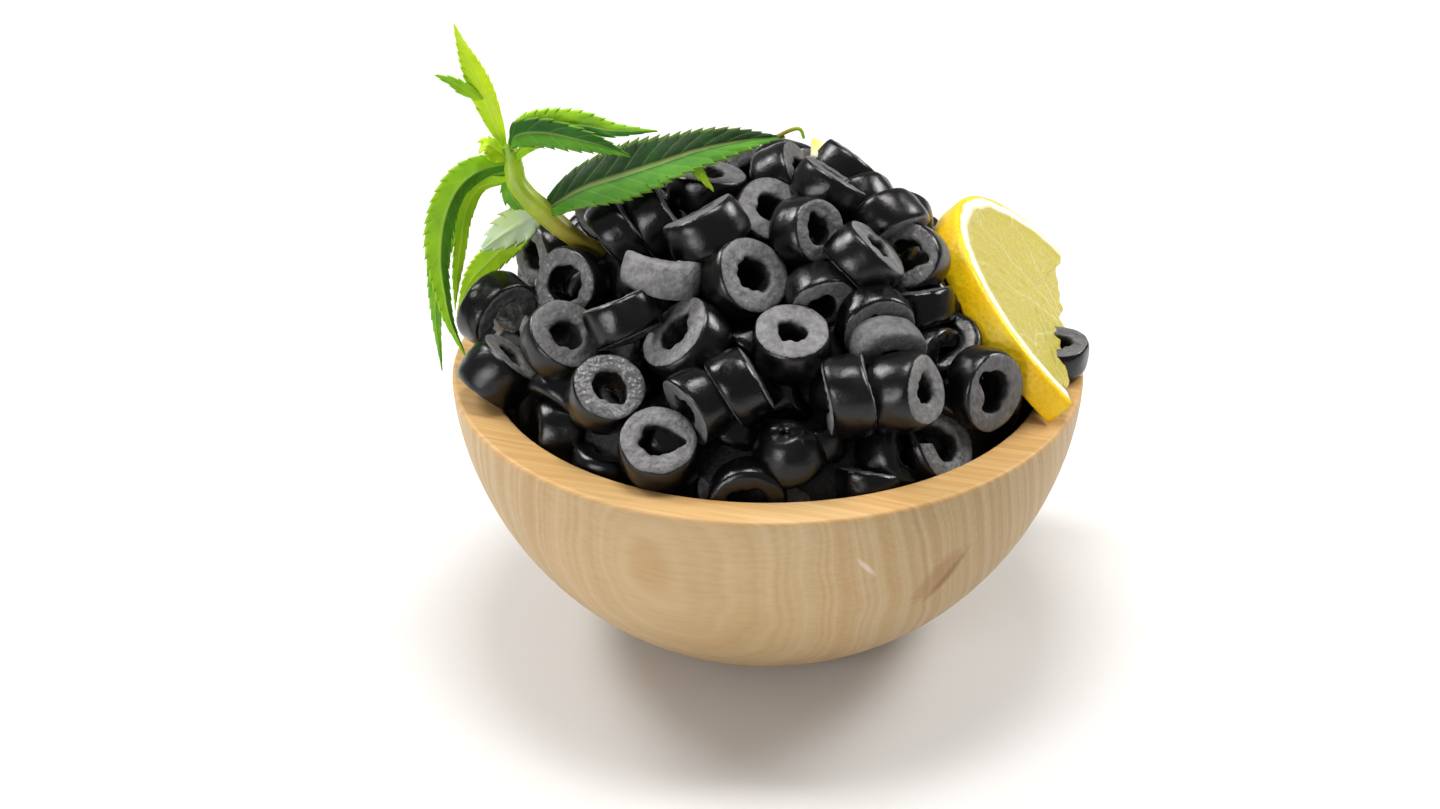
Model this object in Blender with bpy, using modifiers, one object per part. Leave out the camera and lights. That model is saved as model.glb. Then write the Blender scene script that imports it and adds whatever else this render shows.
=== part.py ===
"""A dish of sliced black olives: a thick turned beech bowl, heaped with olive
rings and garnished with two half slices of lemon and a sprig of mint.

Run with: blender --background --python part.py
Units are metres, +Z is up, and the origin is the middle of the bowl's foot.
The bowl is turned, the heap is a core with olive rings joined into it, the
lemon slices are flat half moons, and the sprig is a stalk with bent leaves.
"""
import math
import random

import bmesh
import bpy
import numpy as np
from mathutils import Matrix, Vector

MM = 0.001
GAP = 0.3 * MM                  # air left between pieces that touch
MERGE = 0.01 * MM
FLAT = 0.002                    # faces that meet within this angle are one face

# Bowl, turned from one thick piece of wood
RIM_RADIUS = 60 * MM
RIM_WIDTH = 7.6 * MM
RIM_EDGE = 0.9 * MM             # rounding of the rim's two edges
BOWL_HEIGHT = 54 * MM
FOOT_RADIUS = 13.8 * MM
FLOOR_THICKNESS = 9 * MM
OUTER_FULLNESS = 1.78           # 2 is a quarter circle, more is squarer
INNER_FULLNESS = 1.9
BOWL_STEPS = 38
BOWL_ROWS = 8

# Heap of olive rings
APEX = (11 * MM, 12 * MM)       # top of the heap, right of and behind the middle
SHOULDER = 51 * MM              # the ring centres' widest circle
HEAP_FOOT = 3 * MM              # height of the outermost ring centres over the rim
HEAP_RISE = 35 * MM             # height of the topmost ring centres over the rim
HEAP_FULLNESS = 1.9
LEFT_FULLNESS = 1.2             # added on the left, where the heap is rounder
LEFT_LIFT = 3 * MM
BACK_FULLNESS = -1.0            # added behind, where it falls away sooner
CORE_DEPTH = 1.5 * MM           # the core lies this far under the ring centres
CORE_STEPS = 24
CORE_ROWS = 5
CORE_FLOOR_ROWS = 5
CORE_GAP = 0.9 * MM             # the core keeps this far from the bowl's wall

# One olive ring, sliced from an olive and pitted
RING_RADIUS = 7.4 * MM
RING_THICKNESS = 7.8 * MM
HOLE_SHARE = 0.44               # hole radius as a share of the ring's
RING_SIDES = 7
RING_CORNER = 1.04              # its corners stand out, so that it fills a round ring's place
FILL_COUNT = 68                 # places tried for the rings that are not named
FILL_SPACING = 9.5 * MM         # and how far they keep from each other
NAMED_SPACING = 12.5 * MM       # and from the named rings

# Settling: each ring is two circles of small balls that push each other apart
BALL_RADIUS = 2.3 * MM
BALLS_ROUND = 8
SETTLE_ROUNDS = 90
RISE_LIMIT = 1 * MM             # no ring climbs further than this
HOLD = 0.06                     # pull back to the chosen place and axis, each round
NAMED_YIELD = 0.1               # how readily a named ring gives way to a fill ring

# Lemon
LEMON_RADIUS = 31.8 * MM
LEMON_THICKNESS = 6.0 * MM
LEMON_STEPS = 26
LEMON_CUT = 0.6 * MM            # the straight cut lies this far off the middle
LEMON_ROOM = 6 * MM             # fill rings are laid this far behind the front slice

# Mint
STALK_RADIUS = 1.8 * MM
LEAF_THICKNESS = 0.9 * MM
LEAF_ROWS = 6
LEAF_COLUMNS = 2

# The rings that show best: right, back and height over the rim in millimetres,
# the axis's heading and lift in degrees, then the outer diameter and thickness.
NAMED_RINGS = [
    (-38.2, -20, 14.4, -38, 51, 14.5, 8.0),
    (-36, -7, 20, -120, 25, 14.0, 8.0),
    (-28.9, -34, 11.2, -66, 52, 14.0, 8.0),
    (-18.4, -42, 4.8, -90, 64, 15.0, 9.0),
    (-51, -1, 11.2, -47, -8, 15.5, 7.0),
    (-50, -14, 5, 15, 50, 14.0, 9.0),
    (-42, 14, 16, -145, 5, 14.0, 8.0),
    (-25, -23, 20, 120, 55, 14.5, 8.0),
    (-18.9, -17, 26, 70, 60, 15.5, 7.0),
    (-14.7, -27, 18.6, -163, 51, 16.5, 8.0),
    (-36, -26, -2, 10, 5, 14.0, 8.0),
    (-30, -33, -4, 45, 77, 15.0, 8.0),
    (-26, -2, 29, 10, 41, 15.5, 7.5),
    (-19, -2, 31, 10, 41, 15.5, 7.5),
    (-10, -8, 32, 155, 63, 15.5, 8.0),
    (-12, 4, 33, 90, 80, 15.0, 7.5),
    (-0.9, -3, 32.2, -45, 60, 15.5, 7.5),
    (7.5, -10, 31.8, -45, 24, 13.0, 8.5),
    (17, -13, 29, 10, 44, 14.5, 8.0),
    (18, 3, 32, -55, -48, 15.0, 8.0),
    (22, -4, 30, -45, -40, 14.5, 7.5),
    (25, -8, 27.4, -115, 35, 13.5, 7.5),
    (-5.5, -18, 27.1, -45, 37, 15.8, 8.0),
    (9.7, -20, 23.9, -83, -11, 13.0, 8.0),
    (19.4, -22, 20.5, -76, -15, 14.0, 7.0),
    (21.4, -28, 17.3, -69, -12, 14.0, 7.0),
    (4.7, -30, 19.5, -90, 73, 14.7, 8.0),
    (-5, -38, 15, 10, 30, 14.5, 7.0),
    (-12, -39, 13, -148, -15, 14.0, 7.0),
    (15.1, -37, 14, -178, -5, 15.5, 8.0),
    (24.3, -36, 13, -25, 24, 15.0, 9.5),
    (38.8, -27, 8.5, -48, 7, 15.5, 7.5),
    (29.7, -35, 0.5, -30, 40, 15.5, 8.0),
    (3.2, -44, 6, -100, 78, 14.5, 8.0),
    (7.1, -41, -1.5, -70, 30, 14.0, 7.5),
    (-7.5, -41, -5, -60, 50, 13.0, 6.0),
    (18, -42, -3, 90, 72, 13.0, 7.0),
    (28.5, -21.5, 13.5, -30, 20, 14.5, 8.0),
    (27, -14.5, 19, 85, 75, 14.0, 7.5),
    (5, 11, 35, 5, 36, 15.0, 8.0),
    (14, 15, 32.5, 40, 48, 15.0, 8.0),
    (11, 3, 34, 30, 55, 15.0, 7.0),
]

# The broken ring that lies flat on the rim, under the front lemon slice's cut
RIM_RING = (54.0, -4, 3.9, 20, 86, 13.2, 6.2)

# Lemon half slices: face centre, face heading and lift, and the roll of the arc
LEMON_FRONT = ((57.6, 6.8, 4.2), -3.3, 44, 0.8)
LEMON_BACK = ((-1.2, 24.1, 10.5), 90, 12, 107)

# Mint, in millimetres from the bowl's axis and over its rim
STALK_ROUTE = [(-25, -1, 16), (-31, -2, 24), (-35, -2, 26.5), (-38.5, -1, 29),
               (-41.5, 0, 31.5), (-44.5, 1, 34), (-46.5, 2, 36.5), (-47, 3, 39),
               (-47.5, 3.5, 41.5), (-48.5, 4, 43.5)]
STALK_SHARES = [0.6, 0.7, 0.8, 1.0, 1.1, 1.0, 1.0, 1.0, 0.9, 0.7]
CURL_ROUTE = [(1.6, 3.5, 45.2), (4.5, 4, 46.4), (6, 4, 46.4), (6.7, 4, 44.6)]
CURL_RADIUS = 0.4 * MM

# Each leaf: its midrib's route, the way its blade spreads, width and fold
LEAVES = {
    "long": ([(-41.5, 0, 31.5), (-34.5, -1, 36.5), (-27, -1.5, 39.5), (-20, -1.5, 42),
              (-12.5, -1, 44.5), (-4, 1, 45.5), (3.2, 4, 45)], (0, 0.84, 0.55), 12.0, 8),
    "upper_front": ([(-47.5, 3, 42.5), (-46, 1, 46.5), (-41, -1, 48), (-34.5, -3, 47.5),
                     (-29.5, -4, 46.5), (-25, -5, 45)], (0, 0.3, 0.95), 5.5, 12),
    "upper_back": ([(-48, 4, 42.5), (-45, 3, 46.5), (-40, 2, 48.2), (-34, 0, 49.2),
                    (-28, -1.5, 48.7), (-20, -3, 49.2)], (0, 0.5, 0.85), 6.0, 10),
    "petiole": ([(-47.2, 3, 40), (-45, 1, 43.5), (-42.5, 0, 45.5), (-40, -1.5, 46.5),
                 (-35.5, -3, 46)], (0, 0.5, 0.85), 2.6, 5),
    "droop": ([(-47.2, 3, 40), (-52, 0, 40.5), (-56, -3, 39), (-58.5, -5, 35.5),
               (-60, -6, 30.5), (-60.5, -7, 24.5), (-60, -7.5, 18.5), (-59, -8, 12.5),
               (-56, -8, 4)], (-0.7, -0.3, 0.8), 6.6, 22),
    "droop_behind": ([(-47, 3, 38.5), (-54.5, 4, 35.5), (-59.5, 3, 28.5), (-62, 2, 19.5),
                      (-63, 1, 9.5), (-62, 0, -2)], (-0.7, 0.2, 0.7), 5.0, 10),
    "droop_inner": ([(-46.6, 2.3, 37), (-53, 1.5, 36), (-56, 0, 31.5), (-57, -2, 25.5),
                     (-58, -3, 19), (-58.5, -4, 13)], (-0.7, -0.3, 0.7), 3.6, 10),
    "stem_side": ([(-47, 3, 39), (-47.6, 1, 36), (-46.5, 0, 33.5), (-43, 0, 31.5)],
                  (-0.7, -0.2, -0.6), 4.0, 10),
    "silver": ([(-42, 0, 31.5), (-46, -1.5, 29.7), (-49.5, -3, 28), (-53, -5, 26)],
               (-0.4, 0.3, 0.85), 7.0, 10),
    "low": ([(-41.8, 0.2, 31.2), (-48, 3.5, 24), (-53, 6, 18), (-56.5, 7, 13.5),
             (-59.5, 8, 6)], (-0.7, 0.1, 0.6), 5.5, 10),
    "bud": ([(-48, 3, 41), (-50, 1, 43.5), (-51.5, 0, 45), (-53, -1, 44)],
            (0.2, 1, 0.6), 4.5, 10),
    "shoot": ([(-48.5, 4, 42.5), (-51, 4, 50), (-52.5, 4, 54.5), (-54, 4, 58.5),
               (-55.5, 4, 62.5), (-57, 4, 67.5)], (0.9, 0.3, 0.35), 5.0, 25),
    "shoot_side": ([(-52.2, 4, 52.5), (-55, 3, 54.5), (-57.5, 1.5, 57), (-60.5, 0, 59)],
                   (0.3, 0.1, 0.9), 2.4, 10),
}


def superellipse(rows, fullness):
    """Pairs of radius and height shares up a rounded wall, from its axis to its rim.

    The radius is sin(a) and the depth under the rim is cos(a), both to the
    power 2 / fullness, while a runs from nought to a right angle.
    """
    power = 2 / fullness
    angles = [math.pi / 2 * row / rows for row in range(rows + 1)]
    return [(math.sin(a) ** power, 1 - math.cos(a) ** power) for a in angles]


def material(name, colour, roughness):
    """A Principled material of one colour."""
    finish = bpy.data.materials.new(name)
    finish.use_nodes = True
    shader = finish.node_tree.nodes["Principled BSDF"]
    shader.inputs["Base Color"].default_value = (*colour, 1)
    shader.inputs["Roughness"].default_value = roughness
    shader.inputs["Metallic"].default_value = 0
    return finish


def add_object(name, mesh, collection):
    """An object that shows the mesh, in the collection."""
    item = bpy.data.objects.new(name, mesh)
    collection.objects.link(item)
    return item


def as_cutter(item):
    """Keep a helper out of the finished model."""
    item.hide_render = True
    item.display_type = "WIRE"
    return item


def evaluated_mesh(item):
    """The mesh that an object has once its modifiers are applied."""
    bpy.context.view_layer.update()
    graph = bpy.context.evaluated_depsgraph_get()
    return bpy.data.meshes.new_from_object(item.evaluated_get(graph))


def turned(name, profile, steps, collection):
    """A body turned about Z from a profile of (radius, height) points."""
    mesh = bpy.data.meshes.new(name)
    closed = profile[0][0] > 0
    count = len(profile)
    edges = [(i, (i + 1) % count) for i in range(count if closed else count - 1)]
    mesh.from_pydata([(radius, 0, height) for radius, height in profile], edges, [])
    item = add_object(name, mesh, collection)
    screw = item.modifiers.new("turn", "SCREW")
    screw.steps = screw.render_steps = steps
    screw.use_merge_vertices = True
    screw.merge_threshold = MERGE
    return item


def join_solids(item, collection, operation, solver="EXACT"):
    """Join a collection of solids to an object, or cut them from it.

    The heap uses the MANIFOLD solver, because where dozens of rings cross,
    EXACT leaves a few open edges.
    """
    boolean = item.modifiers.new(operation.lower(), "BOOLEAN")
    boolean.operation = operation
    boolean.operand_type = "COLLECTION"
    boolean.collection = collection
    boolean.solver = solver


def largest_shell(mesh):
    """Keep a mesh's biggest shell: closed pockets and loose crumbs go."""
    shape = bmesh.new()
    shape.from_mesh(mesh)
    left = set(shape.faces)
    shells = []
    while left:
        front = [left.pop()]
        shell = set(front)
        while front:
            face = front.pop()
            new = {beside for edge in face.edges for beside in edge.link_faces} & left
            left -= new
            shell |= new
            front += new
        shells.append(shell)
    shells.sort(key=len)
    for shell in shells[:-1]:
        bmesh.ops.delete(shape, geom=list(shell), context="FACES")
    bmesh.ops.dissolve_limit(shape, angle_limit=FLAT, verts=shape.verts, edges=shape.edges)
    bmesh.ops.triangulate(shape, faces=shape.faces)
    shape.to_mesh(mesh)
    shape.free()
    return mesh


def finish_piece(item, finish):
    """Give a piece its material and smooth shading with sharp edges kept."""
    item.data.materials.clear()
    item.data.materials.append(finish)
    item.data.shade_smooth()
    item.data.set_sharp_from_angle(angle=math.radians(35))


def bowl_profile(grow=0):
    """The bowl's section from the middle of its floor, over the rim, to its foot.

    Grown by a gap, it is the shape that the contents have to keep clear of.
    """
    mouth = RIM_RADIUS - RIM_WIDTH
    depth = BOWL_HEIGHT - FLOOR_THICKNESS
    highest = BOWL_HEIGHT - 2 * RIM_EDGE
    inside = [((mouth - grow) * r, FLOOR_THICKNESS + grow + depth * h)
              for r, h in superellipse(BOWL_ROWS - 1, INNER_FULLNESS)]
    outside = [(FOOT_RADIUS + (RIM_RADIUS - FOOT_RADIUS) * r + grow, BOWL_HEIGHT * h)
               for r, h in superellipse(BOWL_ROWS, OUTER_FULLNESS)]
    top = BOWL_HEIGHT + grow
    rim = [(mouth - grow, top - RIM_EDGE),
           (mouth - grow + RIM_EDGE, top),
           (RIM_RADIUS + grow - RIM_EDGE, top),
           (RIM_RADIUS + grow, top - RIM_EDGE)]
    inner = [point for point in inside if point[1] < highest]
    outer = [point for point in reversed(outside) if point[1] < highest]
    outer[-1] = (FOOT_RADIUS + grow, -grow)
    return inner + rim + outer + [(0, -grow)]


def heap_height(x, y):
    """Height over the rim of the ring centres: a dome that leans to its apex."""
    right, behind = x - APEX[0], y - APEX[1]
    distance = math.hypot(right, behind)
    if distance < MERGE:
        return HEAP_RISE
    right, behind = right / distance, behind / distance
    along = APEX[0] * right + APEX[1] * behind
    reach = math.sqrt(along ** 2 - APEX[0] ** 2 - APEX[1] ** 2 + SHOULDER ** 2) - along
    backness = max(0, behind)
    leftness = max(0, -right) ** 2 * (1 - backness)
    foot = HEAP_FOOT + LEFT_LIFT * leftness
    fullness = HEAP_FULLNESS + LEFT_FULLNESS * leftness + BACK_FULLNESS * backness
    return foot + (HEAP_RISE - foot) * (1 - min(distance / reach, 1.1) ** fullness)


def heap_core(collection):
    """The heap's core: the bowl's hollow filled, and a dome over it.

    Rows of points run up the hollow from its lowest point, and on up the
    dome, each row nearer to the apex than the last.
    """
    mouth = RIM_RADIUS - RIM_WIDTH - CORE_GAP
    turns = [math.tau * step / CORE_STEPS for step in range(CORE_STEPS)]
    floor = FLOOR_THICKNESS + CORE_GAP
    points = [(0, 0, floor)]
    for radius, rise in superellipse(CORE_FLOOR_ROWS, INNER_FULLNESS)[1:]:
        height = floor + (BOWL_HEIGHT - floor) * rise
        points += [(mouth * radius * math.cos(a), mouth * radius * math.sin(a), height)
                   for a in turns]
    for row in range(CORE_ROWS):
        share = 1 - row / CORE_ROWS
        for a in turns:
            x = APEX[0] + (mouth * math.cos(a) - APEX[0]) * share
            y = APEX[1] + (mouth * math.sin(a) - APEX[1]) * share
            points.append((x, y, BOWL_HEIGHT + heap_height(x, y) - CORE_DEPTH))
    points.append((*APEX, BOWL_HEIGHT + HEAP_RISE - CORE_DEPTH))
    rows = CORE_FLOOR_ROWS + CORE_ROWS
    last = len(points) - 1
    faces = []
    for step in range(CORE_STEPS):
        beside = (step + 1) % CORE_STEPS
        faces.append((0, 1 + beside, 1 + step))
        for row in range(rows - 1):
            low, high = 1 + row * CORE_STEPS, 1 + (row + 1) * CORE_STEPS
            faces.append((low + step, low + beside, high + beside, high + step))
        top = 1 + (rows - 1) * CORE_STEPS
        faces.append((top + step, top + beside, last))
    mesh = bpy.data.meshes.new("core")
    mesh.from_pydata(points, [], faces)
    return add_object("olive_heap", mesh, collection)


def direction(heading, lift):
    """The unit vector with a heading about Z from +X, and a lift, in degrees."""
    heading, lift = math.radians(heading), math.radians(lift)
    flat = math.cos(lift)
    return (flat * math.cos(heading), flat * math.sin(heading), math.sin(lift))


def ring_places():
    """Centres, axes, radii with thicknesses, and yields of the rings as first laid.

    The ring on the rim comes first, then the other named rings. The rest are
    tried along a sunflower spiral over the heap, and kept where there is room
    and the front lemon slice isn't.
    """
    draw = random.Random(4)
    named = [RIM_RING] + NAMED_RINGS
    centres = [(x * MM, y * MM, BOWL_HEIGHT + z * MM) for x, y, z, *_ in named]
    axes = [direction(ring[3], ring[4]) for ring in named]
    sizes = [(ring[5] * MM / 2, ring[6] * MM) for ring in named]
    golden = math.pi * (3 - math.sqrt(5))
    for number in range(FILL_COUNT):
        share = math.sqrt((number + 0.5) / FILL_COUNT)
        angle = number * golden
        x = APEX[0] + (SHOULDER * math.cos(angle) - APEX[0]) * share
        y = APEX[1] + (SHOULDER * math.sin(angle) - APEX[1]) * share
        place = (x, y, BOWL_HEIGHT + heap_height(x, y))
        axis = direction(draw.uniform(-180, 180), draw.uniform(-10, 85))
        size = (RING_RADIUS * draw.uniform(0.93, 1.06), RING_THICKNESS * draw.uniform(0.88, 1.1))
        apart = [math.dist(place, other) for other in centres]
        if (min(apart) > FILL_SPACING and min(apart[:len(named)]) > NAMED_SPACING
                and not over_slice(place)):
            centres.append(place)
            axes.append(axis)
            sizes.append(size)
    yields = np.ones(len(centres))
    yields[:len(named)] = NAMED_YIELD
    return np.array(centres), np.array(axes), np.array(sizes), yields


def slice_frame(place):
    """A half slice's face centre, and its cut's, its arc's and its face's directions."""
    centre, heading, lift, roll = place
    face = Vector(direction(heading, lift))
    steep = (Vector((0, 0, 1)) - face * face.z).normalized()
    arc = Matrix.Rotation(math.radians(roll), 3, face) @ steep
    middle = Vector((centre[0] * MM, centre[1] * MM, BOWL_HEIGHT + centre[2] * MM))
    return middle, arc.cross(face), arc, face


def over_slice(place):
    """Whether a ring's place is over the front lemon slice, or close behind it."""
    middle, across, arc, face = slice_frame(LEMON_FRONT)
    offset = Vector(place) - middle
    flat = math.hypot(offset @ across, offset @ arc)
    return flat < LEMON_RADIUS and offset @ face > -LEMON_THICKNESS - LEMON_ROOM


def clear_of_bowl(balls):
    """How far, and which way, to push balls that touch the bowl's wall or rim."""
    mouth = RIM_RADIUS - RIM_WIDTH - GAP
    radius = np.hypot(balls[..., 0], balls[..., 1])
    share = (balls[..., 2] - FLOOR_THICKNESS) / (BOWL_HEIGHT - FLOOR_THICKNESS)
    rise = np.clip(1 - share, 0, 1) ** INNER_FULLNESS
    wall = mouth * (1 - rise) ** (1 / INNER_FULLNESS)
    below = balls[..., 2] < BOWL_HEIGHT
    inward = np.where(below, np.clip(radius + BALL_RADIUS - wall, 0, None), 0)
    lift = np.clip(BOWL_HEIGHT + GAP + BALL_RADIUS - balls[..., 2], 0, None)
    upward = np.where(~below & (radius > mouth), lift, 0)
    push = np.zeros_like(balls)
    push[..., :2] = -balls[..., :2] / radius[..., None] * inward[..., None]
    push[..., 2] = upward
    return push


def clear_of_slice(balls, place, under):
    """The push that takes balls out of a lemon half slice.

    They leave it under the slice, or else through its nearer face.
    """
    middle, across, arc, face = (np.array(vector) for vector in slice_frame(place))
    offset = balls - middle
    depth = offset @ face + LEMON_THICKNESS / 2
    inside = np.hypot(offset @ across, offset @ arc) < LEMON_RADIUS + GAP
    inside &= offset @ arc > 0
    side = -np.ones_like(depth) if under else np.sign(depth)
    room = LEMON_THICKNESS / 2 + GAP + BALL_RADIUS
    amount = np.where(inside, np.clip(room - depth * side, 0, None), 0)
    return (side * amount)[..., None] * face


def ring_balls(centres, axes, sizes):
    """The balls that stand for each ring: a circle near each of its two faces."""
    helper = np.where(np.abs(axes[:, :1]) < 0.8, [[1.0, 0, 0]], [[0, 1.0, 0]])
    first = np.cross(axes, helper)
    first /= np.linalg.norm(first, axis=1, keepdims=True)
    second = np.cross(axes, first)
    turn = np.arange(BALLS_ROUND) * math.tau / BALLS_ROUND
    reach = (sizes[:, 0] - BALL_RADIUS)[:, None, None]
    flat = (first[:, None] * np.cos(turn)[:, None] + second[:, None] * np.sin(turn)[:, None])
    circle = centres[:, None] + flat * reach
    lift = (axes * (sizes[:, 1:] / 2 - BALL_RADIUS))[:, None]
    return np.concatenate([circle + lift, circle - lift], axis=1)


def settled_rings():
    """The rings once they have pushed each other, the bowl and the lemon clear.

    Each round adds up the pushes on a ring's balls. Their mean moves the ring,
    their turning moment tips its axis, and a weak pull holds it as it was laid.
    The ring on the rim, which the lemon lies on, stays where it is.
    """
    centres, axes, sizes, yields = ring_places()
    laid, laid_axes = centres.copy(), axes.copy()
    first, second = np.triu_indices(len(centres), 1)
    for _ in range(SETTLE_ROUNDS):
        balls = ring_balls(centres, axes, sizes)
        apart = np.linalg.norm(centres[first] - centres[second], axis=1)
        near = apart < 18 * MM
        one, two = first[near], second[near]
        between = balls[one][:, :, None] - balls[two][:, None]
        distance = np.linalg.norm(between, axis=-1, keepdims=True)
        overlap = np.clip(2 * BALL_RADIUS - distance, 0, None)
        pushes = between / np.maximum(distance, MERGE) * overlap
        part = (yields[one] / (yields[one] + yields[two]))[:, None, None]
        push = clear_of_bowl(balls)
        push += clear_of_slice(balls, LEMON_FRONT, True)
        push += clear_of_slice(balls, LEMON_BACK, False)
        np.add.at(push, one, pushes.sum(axis=2) * part)
        np.add.at(push, two, -pushes.sum(axis=1) * (1 - part))
        touching = np.maximum((np.abs(push).sum(axis=-1) > 0).sum(axis=1), 1)[:, None]
        moment = np.cross(balls - centres[:, None], push).sum(axis=1) / touching
        centres = centres + push.sum(axis=1) / touching
        centres += (laid - centres) * HOLD
        centres[:, 2] = np.minimum(centres[:, 2], laid[:, 2] + RISE_LIMIT)
        axes = axes + np.cross(moment / RING_RADIUS ** 2, axes)
        axes += (laid_axes - axes) * HOLD
        axes /= np.linalg.norm(axes, axis=1, keepdims=True)
        centres[0], axes[0] = laid[0], laid_axes[0]
    return centres, axes, sizes


def ring_matrix(centre, axis, size, grow=0):
    """The matrix that lays the unit ring at its place, turned, sized and grown."""
    turn = Vector(axis).to_track_quat("Z", "X").to_matrix().to_4x4()
    radius, thickness = size
    scale = Matrix.Diagonal((radius + grow, radius + grow, thickness / 2 + grow, 1))
    return Matrix.Translation(Vector(centre)) @ turn @ scale


def unit_ring(collection):
    """The mesh of a ring of radius one and half thickness one."""
    profile = [(HOLE_SHARE, 1), (RING_CORNER, 1), (RING_CORNER, -1), (HOLE_SHARE, -1)]
    pattern = turned("ring_pattern", profile, RING_SIDES, collection)
    mesh = evaluated_mesh(pattern)
    bpy.data.objects.remove(pattern)
    return mesh


def smooth_path(points, count):
    """Points spaced along the Catmull-Rom curve through the points given."""
    ends = [2 * points[0] - points[1]] + points + [2 * points[-1] - points[-2]]
    path = []
    for step in range(count + 1):
        place = step / count * (len(points) - 1)
        start = min(int(place), len(points) - 2)
        t = place - start
        a, b, c, d = ends[start:start + 4]
        path.append(0.5 * (2 * b + (c - a) * t + (2 * a - 5 * b + 4 * c - d) * t ** 2
                           + (3 * b - a - 3 * c + d) * t ** 3))
    return path


def over_rim(points):
    """Vectors in metres from millimetres measured over the rim."""
    return [Vector((x * MM, y * MM, BOWL_HEIGHT + z * MM)) for x, y, z in points]


def tube(name, route, radius, shares, collection):
    """A round stalk along a smooth route, its caps closed, as a mesh object."""
    curve = bpy.data.curves.new(name, "CURVE")
    curve.dimensions = "3D"
    curve.bevel_depth = radius
    curve.bevel_resolution = 2
    curve.use_fill_caps = True
    count = 2 * (len(route) - 1)
    path = smooth_path(over_rim(route), count)
    spline = curve.splines.new("POLY")
    spline.points.add(count)
    for step, (point, place) in enumerate(zip(spline.points, path)):
        point.co = (*place, 1)
        share = step / count * (len(shares) - 1)
        low = min(int(share), len(shares) - 2)
        point.radius = shares[low] + (shares[low + 1] - shares[low]) * (share - low)
    drawn = add_object(name + "_curve", curve, collection)
    mesh = evaluated_mesh(drawn)
    bpy.data.objects.remove(drawn)
    shape = bmesh.new()
    shape.from_mesh(mesh)
    bmesh.ops.remove_doubles(shape, verts=shape.verts, dist=MERGE)
    shape.to_mesh(mesh)
    shape.free()
    return add_object(name, mesh, collection)


def leaf_share(share):
    """A leaf's half width along its length: widest a third of the way up."""
    return 0.13 + 0.87 * math.sin(math.pi * share ** 0.62) ** 0.9 if 0 < share < 1 else 0.13


def leaf(name, route, spread, width, fold, thickness, collection):
    """A bent leaf: a grid carried along its midrib, given a thickness.

    The blade spreads square to the midrib, and its two halves are folded up
    from it by an angle in degrees.
    """
    path = smooth_path(over_rim(route), LEAF_ROWS)
    lift, flat = math.sin(math.radians(fold)), math.cos(math.radians(fold))
    points = []
    for row, place in enumerate(path):
        ahead = path[min(row + 1, LEAF_ROWS)] - path[max(row - 1, 0)]
        ahead.normalize()
        across = Vector(spread) - ahead * ahead.dot(Vector(spread))
        across.normalize()
        normal = ahead.cross(across)
        half = width * MM / 2 * leaf_share(row / LEAF_ROWS)
        for column in range(LEAF_COLUMNS + 1):
            v = 2 * column / LEAF_COLUMNS - 1
            points.append(place + (across * v * flat + normal * abs(v) * lift) * half)
    wide = LEAF_COLUMNS + 1
    faces = [(row * wide + column, row * wide + column + 1,
              (row + 1) * wide + column + 1, (row + 1) * wide + column)
             for row in range(LEAF_ROWS) for column in range(LEAF_COLUMNS)]
    mesh = bpy.data.meshes.new(name)
    mesh.from_pydata(points, [], faces)
    blade = add_object(name, mesh, collection)
    solidify = blade.modifiers.new("thickness", "SOLIDIFY")
    solidify.thickness = thickness
    solidify.offset = 0
    return blade


def mint_parts(grow, collection):
    """The sprig's stalk, curl and leaves, each grown all round by a gap."""
    stalk = tube("stalk", STALK_ROUTE, STALK_RADIUS + grow, STALK_SHARES, collection)
    curl = tube("curl", CURL_ROUTE, CURL_RADIUS + grow, [1, 1, 0.8], collection)
    blades = [leaf(name, *shape, LEAF_THICKNESS + 2 * grow, collection)
              for name, shape in LEAVES.items()]
    return [stalk, curl] + blades


def half_slice(name, place, grow, collection):
    """A half slice of lemon: a half moon outline, extruded, laid at its place."""
    radius = LEMON_RADIUS + grow
    start = math.asin((LEMON_CUT - grow) / radius)
    outline = []
    for step in range(LEMON_STEPS + 1):
        angle = start + (math.pi - 2 * start) * step / LEMON_STEPS
        outline.append((radius * math.cos(angle), radius * math.sin(angle)))
    curve = bpy.data.curves.new(name, "CURVE")
    curve.dimensions = "2D"
    curve.fill_mode = "BOTH"
    curve.extrude = LEMON_THICKNESS / 2 + grow
    spline = curve.splines.new("POLY")
    spline.points.add(len(outline) - 1)
    spline.use_cyclic_u = True
    for point, (x, y) in zip(spline.points, outline):
        point.co = (x, y, 0, 1)
    drawn = add_object(name + "_curve", curve, collection)
    mesh = evaluated_mesh(drawn)
    bpy.data.objects.remove(drawn)
    shape = bmesh.new()
    shape.from_mesh(mesh)
    bmesh.ops.remove_doubles(shape, verts=shape.verts, dist=MERGE)
    middle, across, arc, face = slice_frame(place)
    frame = Matrix((across, arc, face)).transposed().to_4x4()
    frame.translation = middle - face * LEMON_THICKNESS / 2
    bmesh.ops.transform(shape, matrix=frame, verts=shape.verts)
    shape.to_mesh(mesh)
    shape.free()
    return add_object(name, mesh, collection)


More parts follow.
